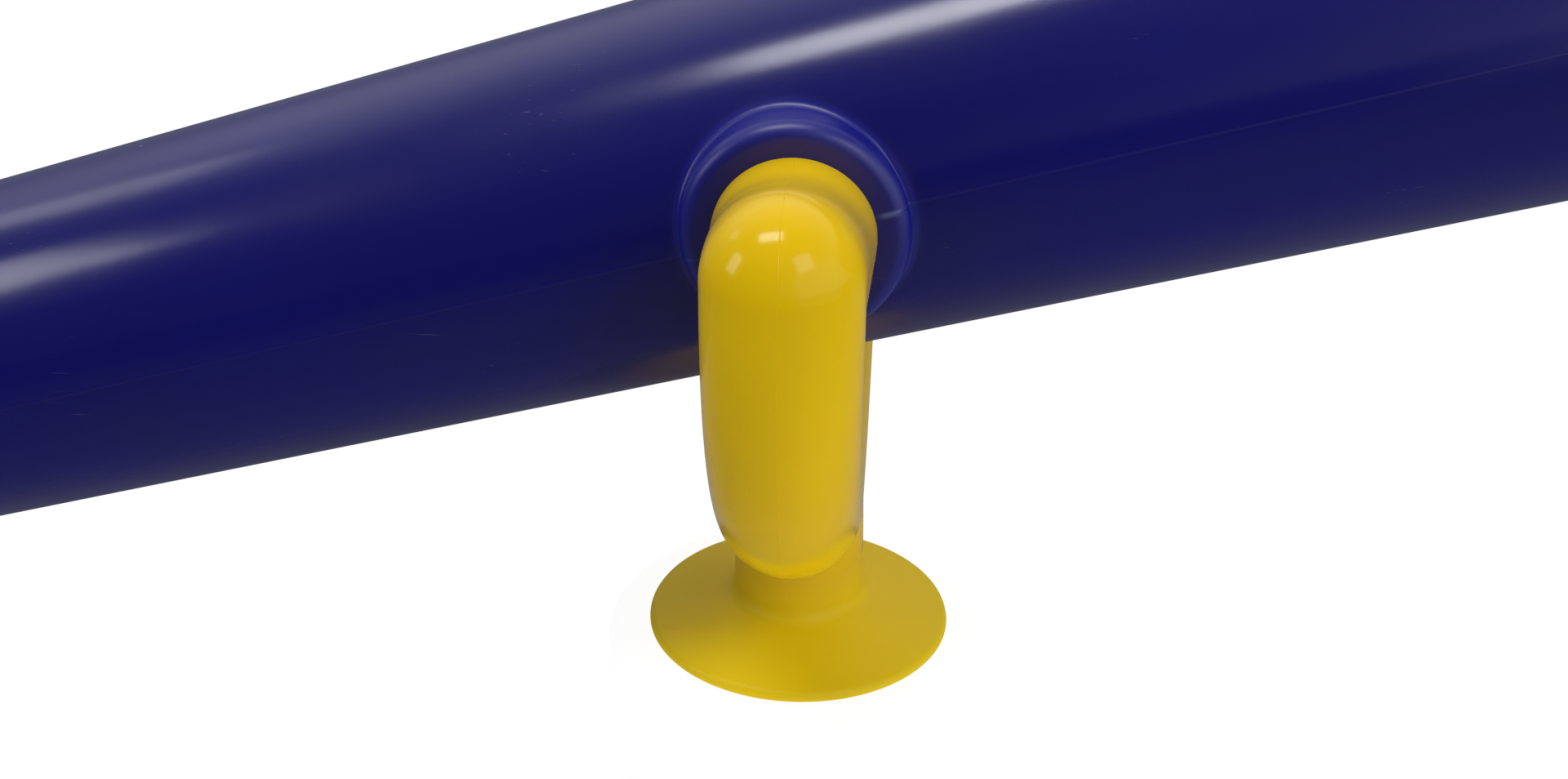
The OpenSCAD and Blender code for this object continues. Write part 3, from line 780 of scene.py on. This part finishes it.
ETCHED_ROUGHNESS = 0.20
# Painted highlight: the lighter blue on the collars' rounded rims
PAINTED_RIM_HIGHLIGHT_BLUE = (0.004, 0.005, 0.215)
UNDERSIDE_ROUGHNESS = 0.24
SCAR_BLUE = (0.10, 0.13, 0.34)
SCAR_S = 0.0265
SCAR_SHOW = 0.6
SCAR_HEIGHT = (0.0013, 0.0002)
SCAR_LENGTH = (0.0042, 0.0008)
SCAR_FACE = (0.0605, 0.0615)
PROUD = (0.030, 0.040)
INSERT_EDGE = (COLLAR_R + 0.0045, COLLAR_R - 0.001)
RIM_HIGHLIGHT_OUTER = (COLLAR_R + 0.003, COLLAR_R + 0.001)
RIM_HIGHLIGHT_INNER = (COLLAR_R - 0.0055, COLLAR_R - 0.001)
UNDERSIDE = (-0.024, -0.046)


def etched_collars_and_rim_highlight(tree, place):
    # The mould's collar inserts leave a duller finish than the polished tube and a trimmed-off scar
    # where its halves met; hands have dulled the underside. The rims carry a painted highlight in
    # lighter blue
    def measure(direction):
        return add_node(
            tree, "ShaderNodeVectorMath", {"operation": "DOT_PRODUCT"},
            {0: from_pivot, 1: direction},
        ).outputs["Value"]

    from_pivot = add_node(
        tree, "ShaderNodeVectorMath", {"operation": "SUBTRACT"}, {0: place, 1: pivot},
    ).outputs["Vector"]
    flat = add_node(
        tree, "ShaderNodeVectorMath", {"operation": "MULTIPLY"}, {0: from_pivot, 1: (1, 0, 1)},
    ).outputs["Vector"]
    distance = add_node(
        tree, "ShaderNodeVectorMath", {"operation": "LENGTH"}, {0: flat},
    ).outputs["Value"]
    sideways = arithmetic(tree, "ABSOLUTE", measure((0, 1, 0)), 0.0)
    proud = ramp(tree, sideways, *PROUD)
    height = measure(across_up)
    insert = arithmetic(tree, "MULTIPLY", ramp(tree, distance, *INSERT_EDGE), proud)
    # Painted highlight: the rounded rim round each collar's face is tinted a lighter blue
    rim = arithmetic(
        tree, "MULTIPLY", ramp(tree, distance, *RIM_HIGHLIGHT_OUTER), ramp(tree, distance, *RIM_HIGHLIGHT_INNER),
    )
    rim = arithmetic(tree, "MULTIPLY", rim, proud)
    past_scar = arithmetic(tree, "SUBTRACT", measure(along_axis), SCAR_S)
    beside = arithmetic(tree, "ABSOLUTE", past_scar, 0.0)
    off_middle = arithmetic(tree, "ABSOLUTE", height, 0.0)
    scar = arithmetic(
        tree, "MULTIPLY", ramp(tree, off_middle, *SCAR_HEIGHT), ramp(tree, beside, *SCAR_LENGTH),
    )
    scar = arithmetic(tree, "MULTIPLY", scar, ramp(tree, sideways, *SCAR_FACE))
    scar = arithmetic(tree, "MULTIPLY", scar, SCAR_SHOW)
    handled = arithmetic(tree, "MULTIPLY", ramp(tree, height, *UNDERSIDE), UNDERSIDE_ROUGHNESS)
    etching = arithmetic(tree, "MULTIPLY", insert, ETCHED_ROUGHNESS)
    dulled = arithmetic(tree, "MAXIMUM", handled, etching)
    return [(rim, PAINTED_RIM_HIGHLIGHT_BLUE), (scar, SCAR_BLUE)], dulled


blue_plastic = moulded_plastic(
    "blue polyethylene", (0.0014, 0.0014, 0.140), (0.0011, 0.0011, 0.124), (0.16, 0.17, 0.32),
    roughness=0.19, peel=0.000011, wave=0.0002, gloss=0.6, tinting_and_dulling=etched_collars_and_rim_highlight,
)
finish_surface(barrel, blue_plastic, angle=35)
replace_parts(barrel, "barrel")
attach(barrel, "barrel")


# Trunnion bushes and tilt washers
# Nylon sleeves pressed into the collars, and rubber rings between collar and stub whose
# grip keeps the barrel at the tilt it was left at.

BLOOM_LOW, BLOOM_HIGH = 0.35, 0.75
BLOOM_PALER = 2.0
BLOOM_SPREAD = 0.1
RUBBER_GRAIN = 0.00006


def rubber(name, colour, roughness):
    material, tree, shader, place = new_finish(name)
    skin = effect(tree, moulding, place)
    bloom_share = ramp(tree, skin["Tone"], BLOOM_LOW, BLOOM_HIGH)
    bloom = mixed_colour(tree, bloom_share, (*colour, 1), (*(BLOOM_PALER * c for c in colour), 1))
    tree.links.new(bloom, shader.inputs["Base Color"])
    dull = add_node(
        tree, "ShaderNodeMapRange", None,
        {"Value": skin["Tone"],
         "To Min": roughness - BLOOM_SPREAD, "To Max": roughness + BLOOM_SPREAD},
    )
    tree.links.new(dull.outputs["Result"], shader.inputs["Roughness"])
    tree.links.new(bump(tree, skin["Peel"], RUBBER_GRAIN), shader.inputs["Normal"])
    return material


black_rubber = rubber("black rubber", (0.016, 0.016, 0.017), 0.62)
for side_name in SIDES:
    dress(side_name + "_trunnion_bush", natural_nylon)
    dress(side_name + "_tilt_washer", black_rubber)


# Objective gasket and window
# A flat rubber ring on the ledge inside the bell, and the clear acrylic disc that
# the bezel clamps against it.

ACRYLIC_IOR = 1.49
WIPE_ROUGHNESS = 0.25


def clear_plastic(name, tint, thick, haze):
    material, tree, shader, place = new_finish(name)
    shader.inputs["Transmission Weight"].default_value = 1.0
    shader.inputs["IOR"].default_value = ACRYLIC_IOR
    skin = effect(tree, moulding, place)
    marks = effect(tree, scuffing, place)
    body = mixed_colour(tree, skin["Tone"], (*tint, 1), (*thick, 1))
    tree.links.new(body, shader.inputs["Base Color"])
    film = arithmetic(tree, "MULTIPLY", skin["Tone"], haze)
    wiped = arithmetic(tree, "MULTIPLY", marks["Scratch"], WIPE_ROUGHNESS)
    tree.links.new(arithmetic(tree, "ADD", film, wiped), shader.inputs["Roughness"])
    return material


clear_acrylic = clear_plastic("clear acrylic", (0.96, 0.98, 0.98), (0.90, 0.95, 0.96), 0.08)
dress("objective_gasket", black_rubber)
dress("objective_window", clear_acrylic)


# Objective bezel
# A yellow ring pushed over the bell, with a rib that presses the window on its gasket.
# It is injection moulded, has a rounded front edge, and three sunk screws hold it.

BEZEL_R = 0.07315
BEZEL_BORE_R = 0.07015
BEZEL_RIB_R = 0.06645
BEZEL_OPEN_R = 0.061
BEZEL_BACK = 0.277
BEZEL_SEAT = 0.29015
BEZEL_FACE = 0.29415
WINDOW_FRONT = 0.2835
BEZEL_ROUND = 0.002
BEZEL_FLAT = (0.2795, 0.2875)
LIP_ROUND = 0.0007
BEZEL_SCREW_S = 0.2835
SCREW_COUNT = 3
HEAD_R = 0.0028
HEAD_H = 0.0015
HOLE_R = 0.00146
RUN = 0.00006
POCKET_POLE_R = 0.0002
POCKET_BELOW = 0.001
POCKET_OVER = 0.0005
MOUTH_DEPTH = 0.0002


def round_barrel(number, s):
    # Place of one of three screws: its own axis points outwards, the first one downwards
    return (
        on_barrel @ Matrix.Rotation(2 * math.pi * number / SCREW_COUNT, 4, "Z")
        @ Matrix.Translation((0, 0, s)) @ Matrix.Rotation(math.pi / 2, 4, "Y")
    )


def screw_pocket(bore_r, outer_r, place):
    # A through hole, a flat for the head and a small chamfer at the mouth
    start_r, end_r = bore_r - POCKET_BELOW, outer_r + POCKET_OVER
    floor_r = outer_r - HEAD_H - RUN
    return turned(
        "screw_pocket",
        [(POCKET_POLE_R, start_r), (HOLE_R, start_r), (HOLE_R, floor_r), (HEAD_R + RUN, floor_r),
         (HEAD_R + RUN, outer_r - MOUTH_DEPTH), (HEAD_R + POCKET_OVER, end_r),
         (POCKET_POLE_R, end_r)],
        steps=48, place=place,
    )


bezel = turned(
    "bezel_ring",
    [(BEZEL_OPEN_R, WINDOW_FRONT), (BEZEL_RIB_R, WINDOW_FRONT), (BEZEL_RIB_R, BEZEL_SEAT),
     (BEZEL_BORE_R, BEZEL_SEAT), (BEZEL_BORE_R, BEZEL_BACK)]
    + arc((BEZEL_R - LIP_ROUND, BEZEL_BACK + LIP_ROUND), LIP_ROUND, -90, 0, 4)
    + [(BEZEL_R, s) for s in BEZEL_FLAT]
    + arc((BEZEL_R - BEZEL_ROUND, BEZEL_FACE - BEZEL_ROUND), BEZEL_ROUND, 0, 90, 8)
    + arc((BEZEL_OPEN_R + LIP_ROUND, BEZEL_FACE - LIP_ROUND), LIP_ROUND, 90, 180, 4)
    + [(BEZEL_OPEN_R, WINDOW_FRONT)],
    steps=160, place=on_barrel,
)
for number in range(SCREW_COUNT):
    cut(bezel, screw_pocket(BEZEL_BORE_R, BEZEL_R, round_barrel(number, BEZEL_SCREW_S)))
finish_surface(bezel, yellow_plastic, angle=32)
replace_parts(bezel, "objective_bezel")
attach(bezel, "barrel")


# Bezel screws
# Three small stainless self-tapping screws, driven through the bezel into the bell's wall.
# Their flat heads have a cross recess and lie in the bezel's pockets.

SHANK_R = 0.0014
THREAD_DEPTH = 0.0003
THREAD_PITCH = 0.0008
RECESS_W = 0.0007
RECESS_L = 0.0034
RECESS_H = 0.0022
SCREW_POLE_R = 0.0001
POINT_R = 0.0006
POINT_H = 0.0001
THREAD_START = 0.0010
THREAD_SPARE = 0.0012
HEAD_ROUND = 0.0005
UNDER_HEAD_IN, UNDER_HEAD_UP = 0.0002, 0.0003


def driver_tip(top):
    # A small block whose four sides are drawn out into wings
    bpy.ops.object.select_all(action="DESELECT")
    bpy.ops.mesh.primitive_cube_add(size=1, location=(0, 0, top))
    tip = bpy.context.object
    tip.scale = (RECESS_W, RECESS_W, RECESS_H)
    bpy.ops.object.transform_apply()
    for face in tip.data.polygons:
        face.select = abs(face.normal.z) < 0.5
    bpy.ops.object.mode_set(mode="EDIT")
    bpy.ops.mesh.extrude_faces_move(
        TRANSFORM_OT_shrink_fatten={"value": (RECESS_L - RECESS_W) / 2},
    )
    bpy.ops.object.mode_set(mode="OBJECT")
    return tip


def screw(name, outer_r, tip_r, place):
    head_top = outer_r - RUN
    head_floor = outer_r - HEAD_H
    threads = []
    turns = int((head_floor - tip_r - THREAD_SPARE) / THREAD_PITCH)
    for i in range(turns):
        start = tip_r + THREAD_START + i * THREAD_PITCH
        threads += [(SHANK_R - THREAD_DEPTH, start), (SHANK_R, start + THREAD_PITCH / 2)]
    made = turned(
        name,
        [(SCREW_POLE_R, tip_r), (POINT_R, tip_r + POINT_H)] + threads
        + [(SHANK_R - THREAD_DEPTH / 2, head_floor), (HEAD_R - UNDER_HEAD_IN, head_floor),
           (HEAD_R, head_floor + UNDER_HEAD_UP)]
        + arc((HEAD_R - HEAD_ROUND, head_top - HEAD_ROUND), HEAD_ROUND, 0, 90, 4)
        + [(SCREW_POLE_R, head_top)],
        steps=40, place=Matrix.Identity(4),
    )
    cut(made, driver_tip(head_top))
    made.matrix_world = place
    only(made)
    bpy.ops.object.transform_apply()
    return made


def screw_set(name, outer_r, tip_r, s):
    places_round = [round_barrel(number, s) for number in range(SCREW_COUNT)]
    screws = [screw(name, outer_r, tip_r, place) for place in places_round]
    made = join(screws, name)
    finish_surface(made, stainless, angle=30)
    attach(made, "barrel")
    return made


BEZEL_TIP_R = 0.06706
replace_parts(screw_set("bezel_screw_set", BEZEL_R, BEZEL_TIP_R, BEZEL_SCREW_S), "bezel_screws")


# Eyepiece housing
# A yellow moulded sleeve over the barrel's rear neck, with a web that carries the lens and
# a stepped seat for the eyecup. Three sunk screws hold it to the neck.

HOUSING_R = 0.03315
HOUSING_BORE_R = 0.03015
HOUSING_FRONT = -0.324
HOUSING_BACK = -0.35715
GRIP_R = 0.03105
GRIP_FRONT = -0.34715
WEB_FRONT = -0.34215
WEB_BACK = -0.34515
EYE_HOLE_R = 0.020
LENS_SEAT_R = 0.02495
EYEPIECE_SCREW_S = -0.333
EDGE_ROUND = 0.0012
HOUSING_FLAT = (-0.3285, -0.3375)
housing = turned(
    "eyepiece_sleeve",
    [(EYE_HOLE_R, WEB_FRONT), (HOUSING_BORE_R, WEB_FRONT), (HOUSING_BORE_R, HOUSING_FRONT)]
    + arc((HOUSING_R - EDGE_ROUND, HOUSING_FRONT - EDGE_ROUND), EDGE_ROUND, 90, 0, 6)
    + [(HOUSING_R, s) for s in (*HOUSING_FLAT, GRIP_FRONT)]
    + [(GRIP_R, GRIP_FRONT), (GRIP_R, HOUSING_BACK), (LENS_SEAT_R, HOUSING_BACK),
       (LENS_SEAT_R, WEB_BACK), (EYE_HOLE_R, WEB_BACK), (EYE_HOLE_R, WEB_FRONT)],
    steps=128, place=on_barrel,
)
for number in range(SCREW_COUNT):
    cut(housing, screw_pocket(HOUSING_BORE_R, HOUSING_R, round_barrel(number, EYEPIECE_SCREW_S)))
finish_surface(housing, yellow_plastic, angle=32)
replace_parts(housing, "eyepiece_housing")
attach(housing, "barrel")


# Eyepiece screws
# The same three stainless screws as on the bezel, through the housing into the rear neck.

EYEPIECE_TIP_R = 0.02706
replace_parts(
    screw_set("eyepiece_screw_set", HOUSING_R, EYEPIECE_TIP_R, EYEPIECE_SCREW_S),
    "eyepiece_screws",
)


# Eyepiece gasket, lens and retaining ring
# A thin rubber ring, a plain clear lens with polished edges, and the black threaded ring
# that holds both in the housing. Two slots in the ring take a spanner.

LENS_R = 0.0248
LENS_FRONT = -0.34615
LENS_BACK = -0.34915
RETAINER_BACK = -0.35315
DISH_R = 0.0185
DISH = 0.0008
LENS_POLE_R = 0.0001
LENS_EDGE = 0.0003
RING_EDGE = 0.0004
RING_BEVEL = 0.0012
dish_shares = [i / 8 for i in range(9)]
lens = turned(
    "eyepiece_lens_disc",
    [(max(DISH_R * t, LENS_POLE_R), LENS_BACK + DISH * (1 - t * t)) for t in dish_shares]
    + [(LENS_R - LENS_EDGE, LENS_BACK), (LENS_R, LENS_BACK + LENS_EDGE),
       (LENS_R, LENS_FRONT - LENS_EDGE), (LENS_R - LENS_EDGE, LENS_FRONT)]
    + [(max(DISH_R * t, LENS_POLE_R), LENS_FRONT + DISH * (1 - t * t))
       for t in reversed(dish_shares)],
    steps=96, place=on_barrel,
)
finish_surface(lens, clear_acrylic, angle=20)
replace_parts(lens, "eyepiece_lens")
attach(lens, "barrel")
dress("eyepiece_gasket", black_rubber)

retainer = turned(
    "lens_ring",
    [(EYE_HOLE_R, LENS_BACK), (LENS_R, LENS_BACK), (LENS_R, RETAINER_BACK + RING_EDGE),
     (LENS_R - RING_EDGE, RETAINER_BACK), (EYE_HOLE_R + RING_BEVEL, RETAINER_BACK),
     (EYE_HOLE_R, RETAINER_BACK + RING_BEVEL), (EYE_HOLE_R, LENS_BACK)],
    steps=96, place=on_barrel,
)
SLOT_L = 0.08
SLOT_W = 0.003
SLOT_DEPTH = 0.0016
bpy.ops.object.select_all(action="DESELECT")
bpy.ops.mesh.primitive_cube_add(size=1)
spanner_slot = bpy.context.object
spanner_slot.matrix_world = (
    on_barrel @ Matrix.Translation((0, 0, RETAINER_BACK))
    @ Matrix.Diagonal((SLOT_L, SLOT_W, 2 * SLOT_DEPTH, 1))
)
bpy.ops.object.transform_apply()
cut(retainer, spanner_slot)
finish_surface(retainer, black_plastic, angle=30)
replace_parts(retainer, "lens_retaining_ring")
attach(retainer, "barrel")


# Eyecup
# A soft black rubber cup pushed over the housing's stepped seat. Its skirt flares to a
# rolled lip, and three low rings on its sleeve give a grip.

CUP_BORE_R = 0.03111
CUP_REAR = -0.37915
CUP_LIP_R = 0.040
CUP_WALL = 0.0021
CUP_TURN_S = HOUSING_BACK - CUP_WALL
CUP_EDGE = 0.0004
SKIRT_STRAIGHT, SKIRT_FLARE = 0.75, 0.25
GRIP_MIDDLES = (-0.3495, -0.3525, -0.3555)
GRIP_HALF_W = 0.0009
GRIP_RISE = 0.0004
GRIP_STEPS = 6
roll = CUP_WALL / 2
roll_centre = (CUP_LIP_R - roll, CUP_REAR + roll)
skirt_shares = [i / 10 for i in range(1, 10)]


def skirt(start_r, start_s, end_r, end_s):
    # The skirt leaves the sleeve gently and flares more towards the lip
    return [
        (start_r + (end_r - start_r) * (SKIRT_STRAIGHT * t + SKIRT_FLARE * t * t),
         start_s + (end_s - start_s) * t)
        for t in skirt_shares
    ]


grip_rings = []
for middle in GRIP_MIDDLES:
    grip_rings += [(HOUSING_R, middle + GRIP_HALF_W)]
    grip_rings += [
        (HOUSING_R + GRIP_RISE * math.sin(math.pi * i / GRIP_STEPS),
         middle + GRIP_HALF_W - 2 * GRIP_HALF_W * i / GRIP_STEPS)
        for i in range(1, GRIP_STEPS + 1)
    ]
eyecup = turned(
    "eyecup_rubber",
    [(CUP_BORE_R, GRIP_FRONT), (CUP_BORE_R, HOUSING_BACK)]
    + [(LENS_SEAT_R, HOUSING_BACK), (LENS_SEAT_R, CUP_TURN_S)]
    + skirt(LENS_SEAT_R, CUP_TURN_S, roll_centre[0] - roll, roll_centre[1])
    + arc(roll_centre, roll, 180, 360, 12)
    + list(reversed(skirt(HOUSING_R, CUP_TURN_S, CUP_LIP_R, roll_centre[1])))
    + [(HOUSING_R, CUP_TURN_S)] + list(reversed(grip_rings))
    + [(HOUSING_R, GRIP_FRONT - CUP_EDGE), (HOUSING_R - CUP_EDGE, GRIP_FRONT)]
    + [(CUP_BORE_R, GRIP_FRONT)],
    steps=128, place=on_barrel,
)
finish_surface(eyecup, black_rubber, angle=35)
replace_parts(eyecup, "eyecup")
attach(eyecup, "barrel")


# Stage
# A pale floor with a slim round stand under the foot, as high as a rail so that the barrel
# can dip past it, soft studio lamps and a camera at the photograph's viewing angle.

FLOOR_Z = -0.30
FLOOR_W = 14
STAND_R = 0.0635
STAND_ROUND = 0.005
STAND_GAP = 0.0002


def grey(level):
    return (level, level, level, 1)


def mixed_shader(tree, factor, first, second):
    return add_node(
        tree, "ShaderNodeMixShader", None,
        {0: factor, 1: first.outputs[0], 2: second.outputs[0]},
    )


def looked_through(tree, rays):
    return arithmetic(tree, "MAXIMUM", rays["Is Camera Ray"], rays["Is Transmission Ray"])


bpy.ops.object.select_all(action="DESELECT")
bpy.ops.mesh.primitive_plane_add(size=1, location=(0, 0, FLOOR_Z))
floor = bpy.context.object
floor.name = "floor"
floor.scale = (FLOOR_W, FLOOR_W, 1)
bpy.ops.object.transform_apply()
bpy.ops.object.select_all(action="DESELECT")
bpy.ops.mesh.primitive_cylinder_add(
    vertices=128, radius=STAND_R, depth=-FLOOR_Z, location=(0, 0, FLOOR_Z / 2 - STAND_GAP),
)
stand = bpy.context.object
stand.name = "stand"
bpy.ops.object.transform_apply()
apply(stand, "BEVEL", width=STAND_ROUND, segments=4, limit_method="ANGLE")
bpy.ops.object.shade_smooth_by_angle(angle=math.radians(35))

# Painted light on the paper, for what it throws back onto the part: it is lighter and emits more
# towards the right and near the part, and fades away from it. The camera sees it nearly white, and
# glossy pieces see it darker.
FADE_REACH = (1.9, 0.30)
PAINTED_LIGHT_SPAN = (-0.9, 0.9)
PAINTED_GLOW_SPAN = (-1.0, 0.75)
MIRROR_SPAN = (-0.10, 0.50)
FAR_TONE, LEFT_TONE, RIGHT_TONE = grey(0.15), grey(0.62), grey(0.92)
MIRROR_NEAR, MIRROR_FAR = grey(0.15), grey(0.36)
SHADOW_TONE = grey(0.17)
PAINTED_FLOOR_GLOW = 0.76
SEEN_GLOW = 0.92
paper = bpy.data.materials.new("white paper")
paper.use_nodes = True
sheet = paper.node_tree
spot = add_node(sheet, "ShaderNodeTexCoord").outputs["Object"]
reach = add_node(sheet, "ShaderNodeVectorMath", {"operation": "LENGTH"}, {0: spot}).outputs["Value"]
near = ramp(sheet, reach, *FADE_REACH)
across = add_node(sheet, "ShaderNodeSeparateXYZ", None, {"Vector": spot}).outputs
# Painted light: the paper's colour is lighter towards the right
painted_light_tone = mixed_colour(sheet, ramp(sheet, across["X"], *PAINTED_LIGHT_SPAN), LEFT_TONE, RIGHT_TONE)
floor_tone = mixed_colour(sheet, near, FAR_TONE, painted_light_tone)
rays = add_node(sheet, "ShaderNodeLightPath").outputs
plain = add_node(sheet, "ShaderNodeBsdfDiffuse", None, {"Color": floor_tone})
# Painted light: the paper emits more towards the right and near the part
painted_bounce = arithmetic(sheet, "MULTIPLY", near, ramp(sheet, across["X"], *PAINTED_GLOW_SPAN))
painted_glow_strength = arithmetic(sheet, "MULTIPLY", painted_bounce, PAINTED_FLOOR_GLOW)
painted_glow = add_node(
    sheet, "ShaderNodeEmission", None, {"Color": grey(1), "Strength": painted_glow_strength},
)
matt = add_node(sheet, "ShaderNodeAddShader", None, {0: plain.outputs[0], 1: painted_glow.outputs[0]})
pale = mixed_colour(sheet, ramp(sheet, across["Y"], *MIRROR_SPAN), MIRROR_NEAR, MIRROR_FAR)
mirrored = add_node(sheet, "ShaderNodeBsdfDiffuse", None, {"Color": pale})
shadowed = add_node(sheet, "ShaderNodeBsdfDiffuse", None, {"Color": SHADOW_TONE})
bright = add_node(
    sheet, "ShaderNodeEmission", None, {"Color": grey(1), "Strength": SEEN_GLOW},
)
seen = add_node(
    sheet, "ShaderNodeAddShader", None, {0: shadowed.outputs[0], 1: bright.outputs[0]},
)
unseen = mixed_shader(sheet, rays["Is Glossy Ray"], matt, mirrored)
mixed = mixed_shader(sheet, looked_through(sheet, rays), unseen, seen)
sheet.links.new(mixed.outputs[0], sheet.nodes["Material Output"].inputs["Surface"])
sheet.nodes.remove(sheet.nodes["Principled BSDF"])
for sheeted in (floor, stand):
    sheeted.data.materials.append(paper)

# A toned room for reflections, and plain white for the camera and through clear pieces
BEHIND_SPAN = (-0.10, 0.60)
RIGHT_SPAN = (-0.3, 0.9)
OVERHEAD_SPAN = (0.25, 0.95)
BACK_WALL_SPAN = (0.10, 0.60)
FRONT_LEFT, FRONT_RIGHT = (0.11, 0.11, 0.115, 1), (0.74, 0.74, 0.75, 1)
BACK_LOW, BACK_HIGH = (0.22, 0.22, 0.23, 1), (0.86, 0.86, 0.87, 1)
CEILING = (0.24, 0.24, 0.25, 1)
scene = bpy.context.scene
world = bpy.data.worlds.new("studio")
scene.world = world
world.use_nodes = True
sky = world.node_tree
backdrop = sky.nodes["Background"]
direction = add_node(sky, "ShaderNodeTexCoord").outputs["Generated"]
split = add_node(sky, "ShaderNodeSeparateXYZ", None, {"Vector": direction}).outputs
behind = ramp(sky, split["Y"], *BEHIND_SPAN)
from_right = ramp(sky, split["X"], *RIGHT_SPAN)
overhead = ramp(sky, split["Z"], *OVERHEAD_SPAN)
front = mixed_colour(sky, from_right, FRONT_LEFT, FRONT_RIGHT)
lit_ceiling = mixed_colour(sky, overhead, front, CEILING)
up_wall = ramp(sky, split["Z"], *BACK_WALL_SPAN)
back_wall = mixed_colour(sky, up_wall, BACK_LOW, BACK_HIGH)
room = mixed_colour(sky, behind, lit_ceiling, back_wall)
white_sky = add_node(sky, "ShaderNodeBackground", None, {"Color": grey(1), "Strength": 1.0})
sky.links.new(room, backdrop.inputs["Color"])
eye = add_node(sky, "ShaderNodeLightPath").outputs
both = mixed_shader(sky, looked_through(sky, eye), backdrop, white_sky)
sky.links.new(both.outputs[0], sky.nodes["World Output"].inputs["Surface"])


def lamp(name, place, target, width, height, power):
    light = bpy.data.lights.new(name, "AREA")
    light.shape = "RECTANGLE"
    light.size, light.size_y = width, height
    light.energy = power
    holder = bpy.data.objects.new(name, light)
    scene.collection.objects.link(holder)
    holder.visible_camera = False
    holder.location = place
    holder.rotation_euler = (Vector(target) - Vector(place)).to_track_quat("-Z", "Y").to_euler()


lamp("ceiling_lamp", (-0.345, -0.28, 1.5), (-0.345, -0.28, 0), 0.70, 0.33, 7.9)
lamp("far_left_lamp", (-1.81, 0.69, 1.5), (0, 0, 0.2), 0.42, 0.42, 0.9)
lamp("low_left_lamp", (-1.18, -0.40, 0.66), (0, -0.10, 0.15), 0.36, 0.50, 2.5)
lamp("front_soft_lamp", (0.456, -0.628, 0.765), (0, -0.12, 0.18), 0.38, 0.34, 1.3)
lamp("right_soft_lamp", (0.95, -0.70, 0.35), (0.12, -0.03, 0.17), 1.5, 1.1, 2.0)

# The camera that was fitted to the photograph
EYE = Vector((0.027095, -0.512037, 0.348350))
YAW, PITCH, ROLL = (math.radians(a) for a in (-3.815, 28.027, -0.823))
FOCUS_PX, SHIFT_X_PX, SHIFT_Y_PX = 2248.284, -4.850, 33.614
IMAGE_W = 1920
forward = Vector((
    math.sin(YAW) * math.cos(PITCH), math.cos(YAW) * math.cos(PITCH), -math.sin(PITCH),
))
level_right = Vector((math.cos(YAW), -math.sin(YAW), 0))
level_down = forward.cross(level_right)
right = math.cos(ROLL) * level_right + math.sin(ROLL) * level_down
down = -math.sin(ROLL) * level_right + math.cos(ROLL) * level_down
camera = bpy.data.cameras.new("camera")
camera.sensor_width = 36
camera.lens = FOCUS_PX / IMAGE_W * camera.sensor_width
camera.shift_x = -SHIFT_X_PX / IMAGE_W
camera.shift_y = SHIFT_Y_PX / IMAGE_W
viewer = bpy.data.objects.new("camera", camera)
scene.collection.objects.link(viewer)
facing = Matrix((right, -down, -forward)).transposed().to_4x4()
viewer.matrix_world = Matrix.Translation(EYE) @ facing
scene.camera = viewer
scene.view_settings.view_transform = "Standard"
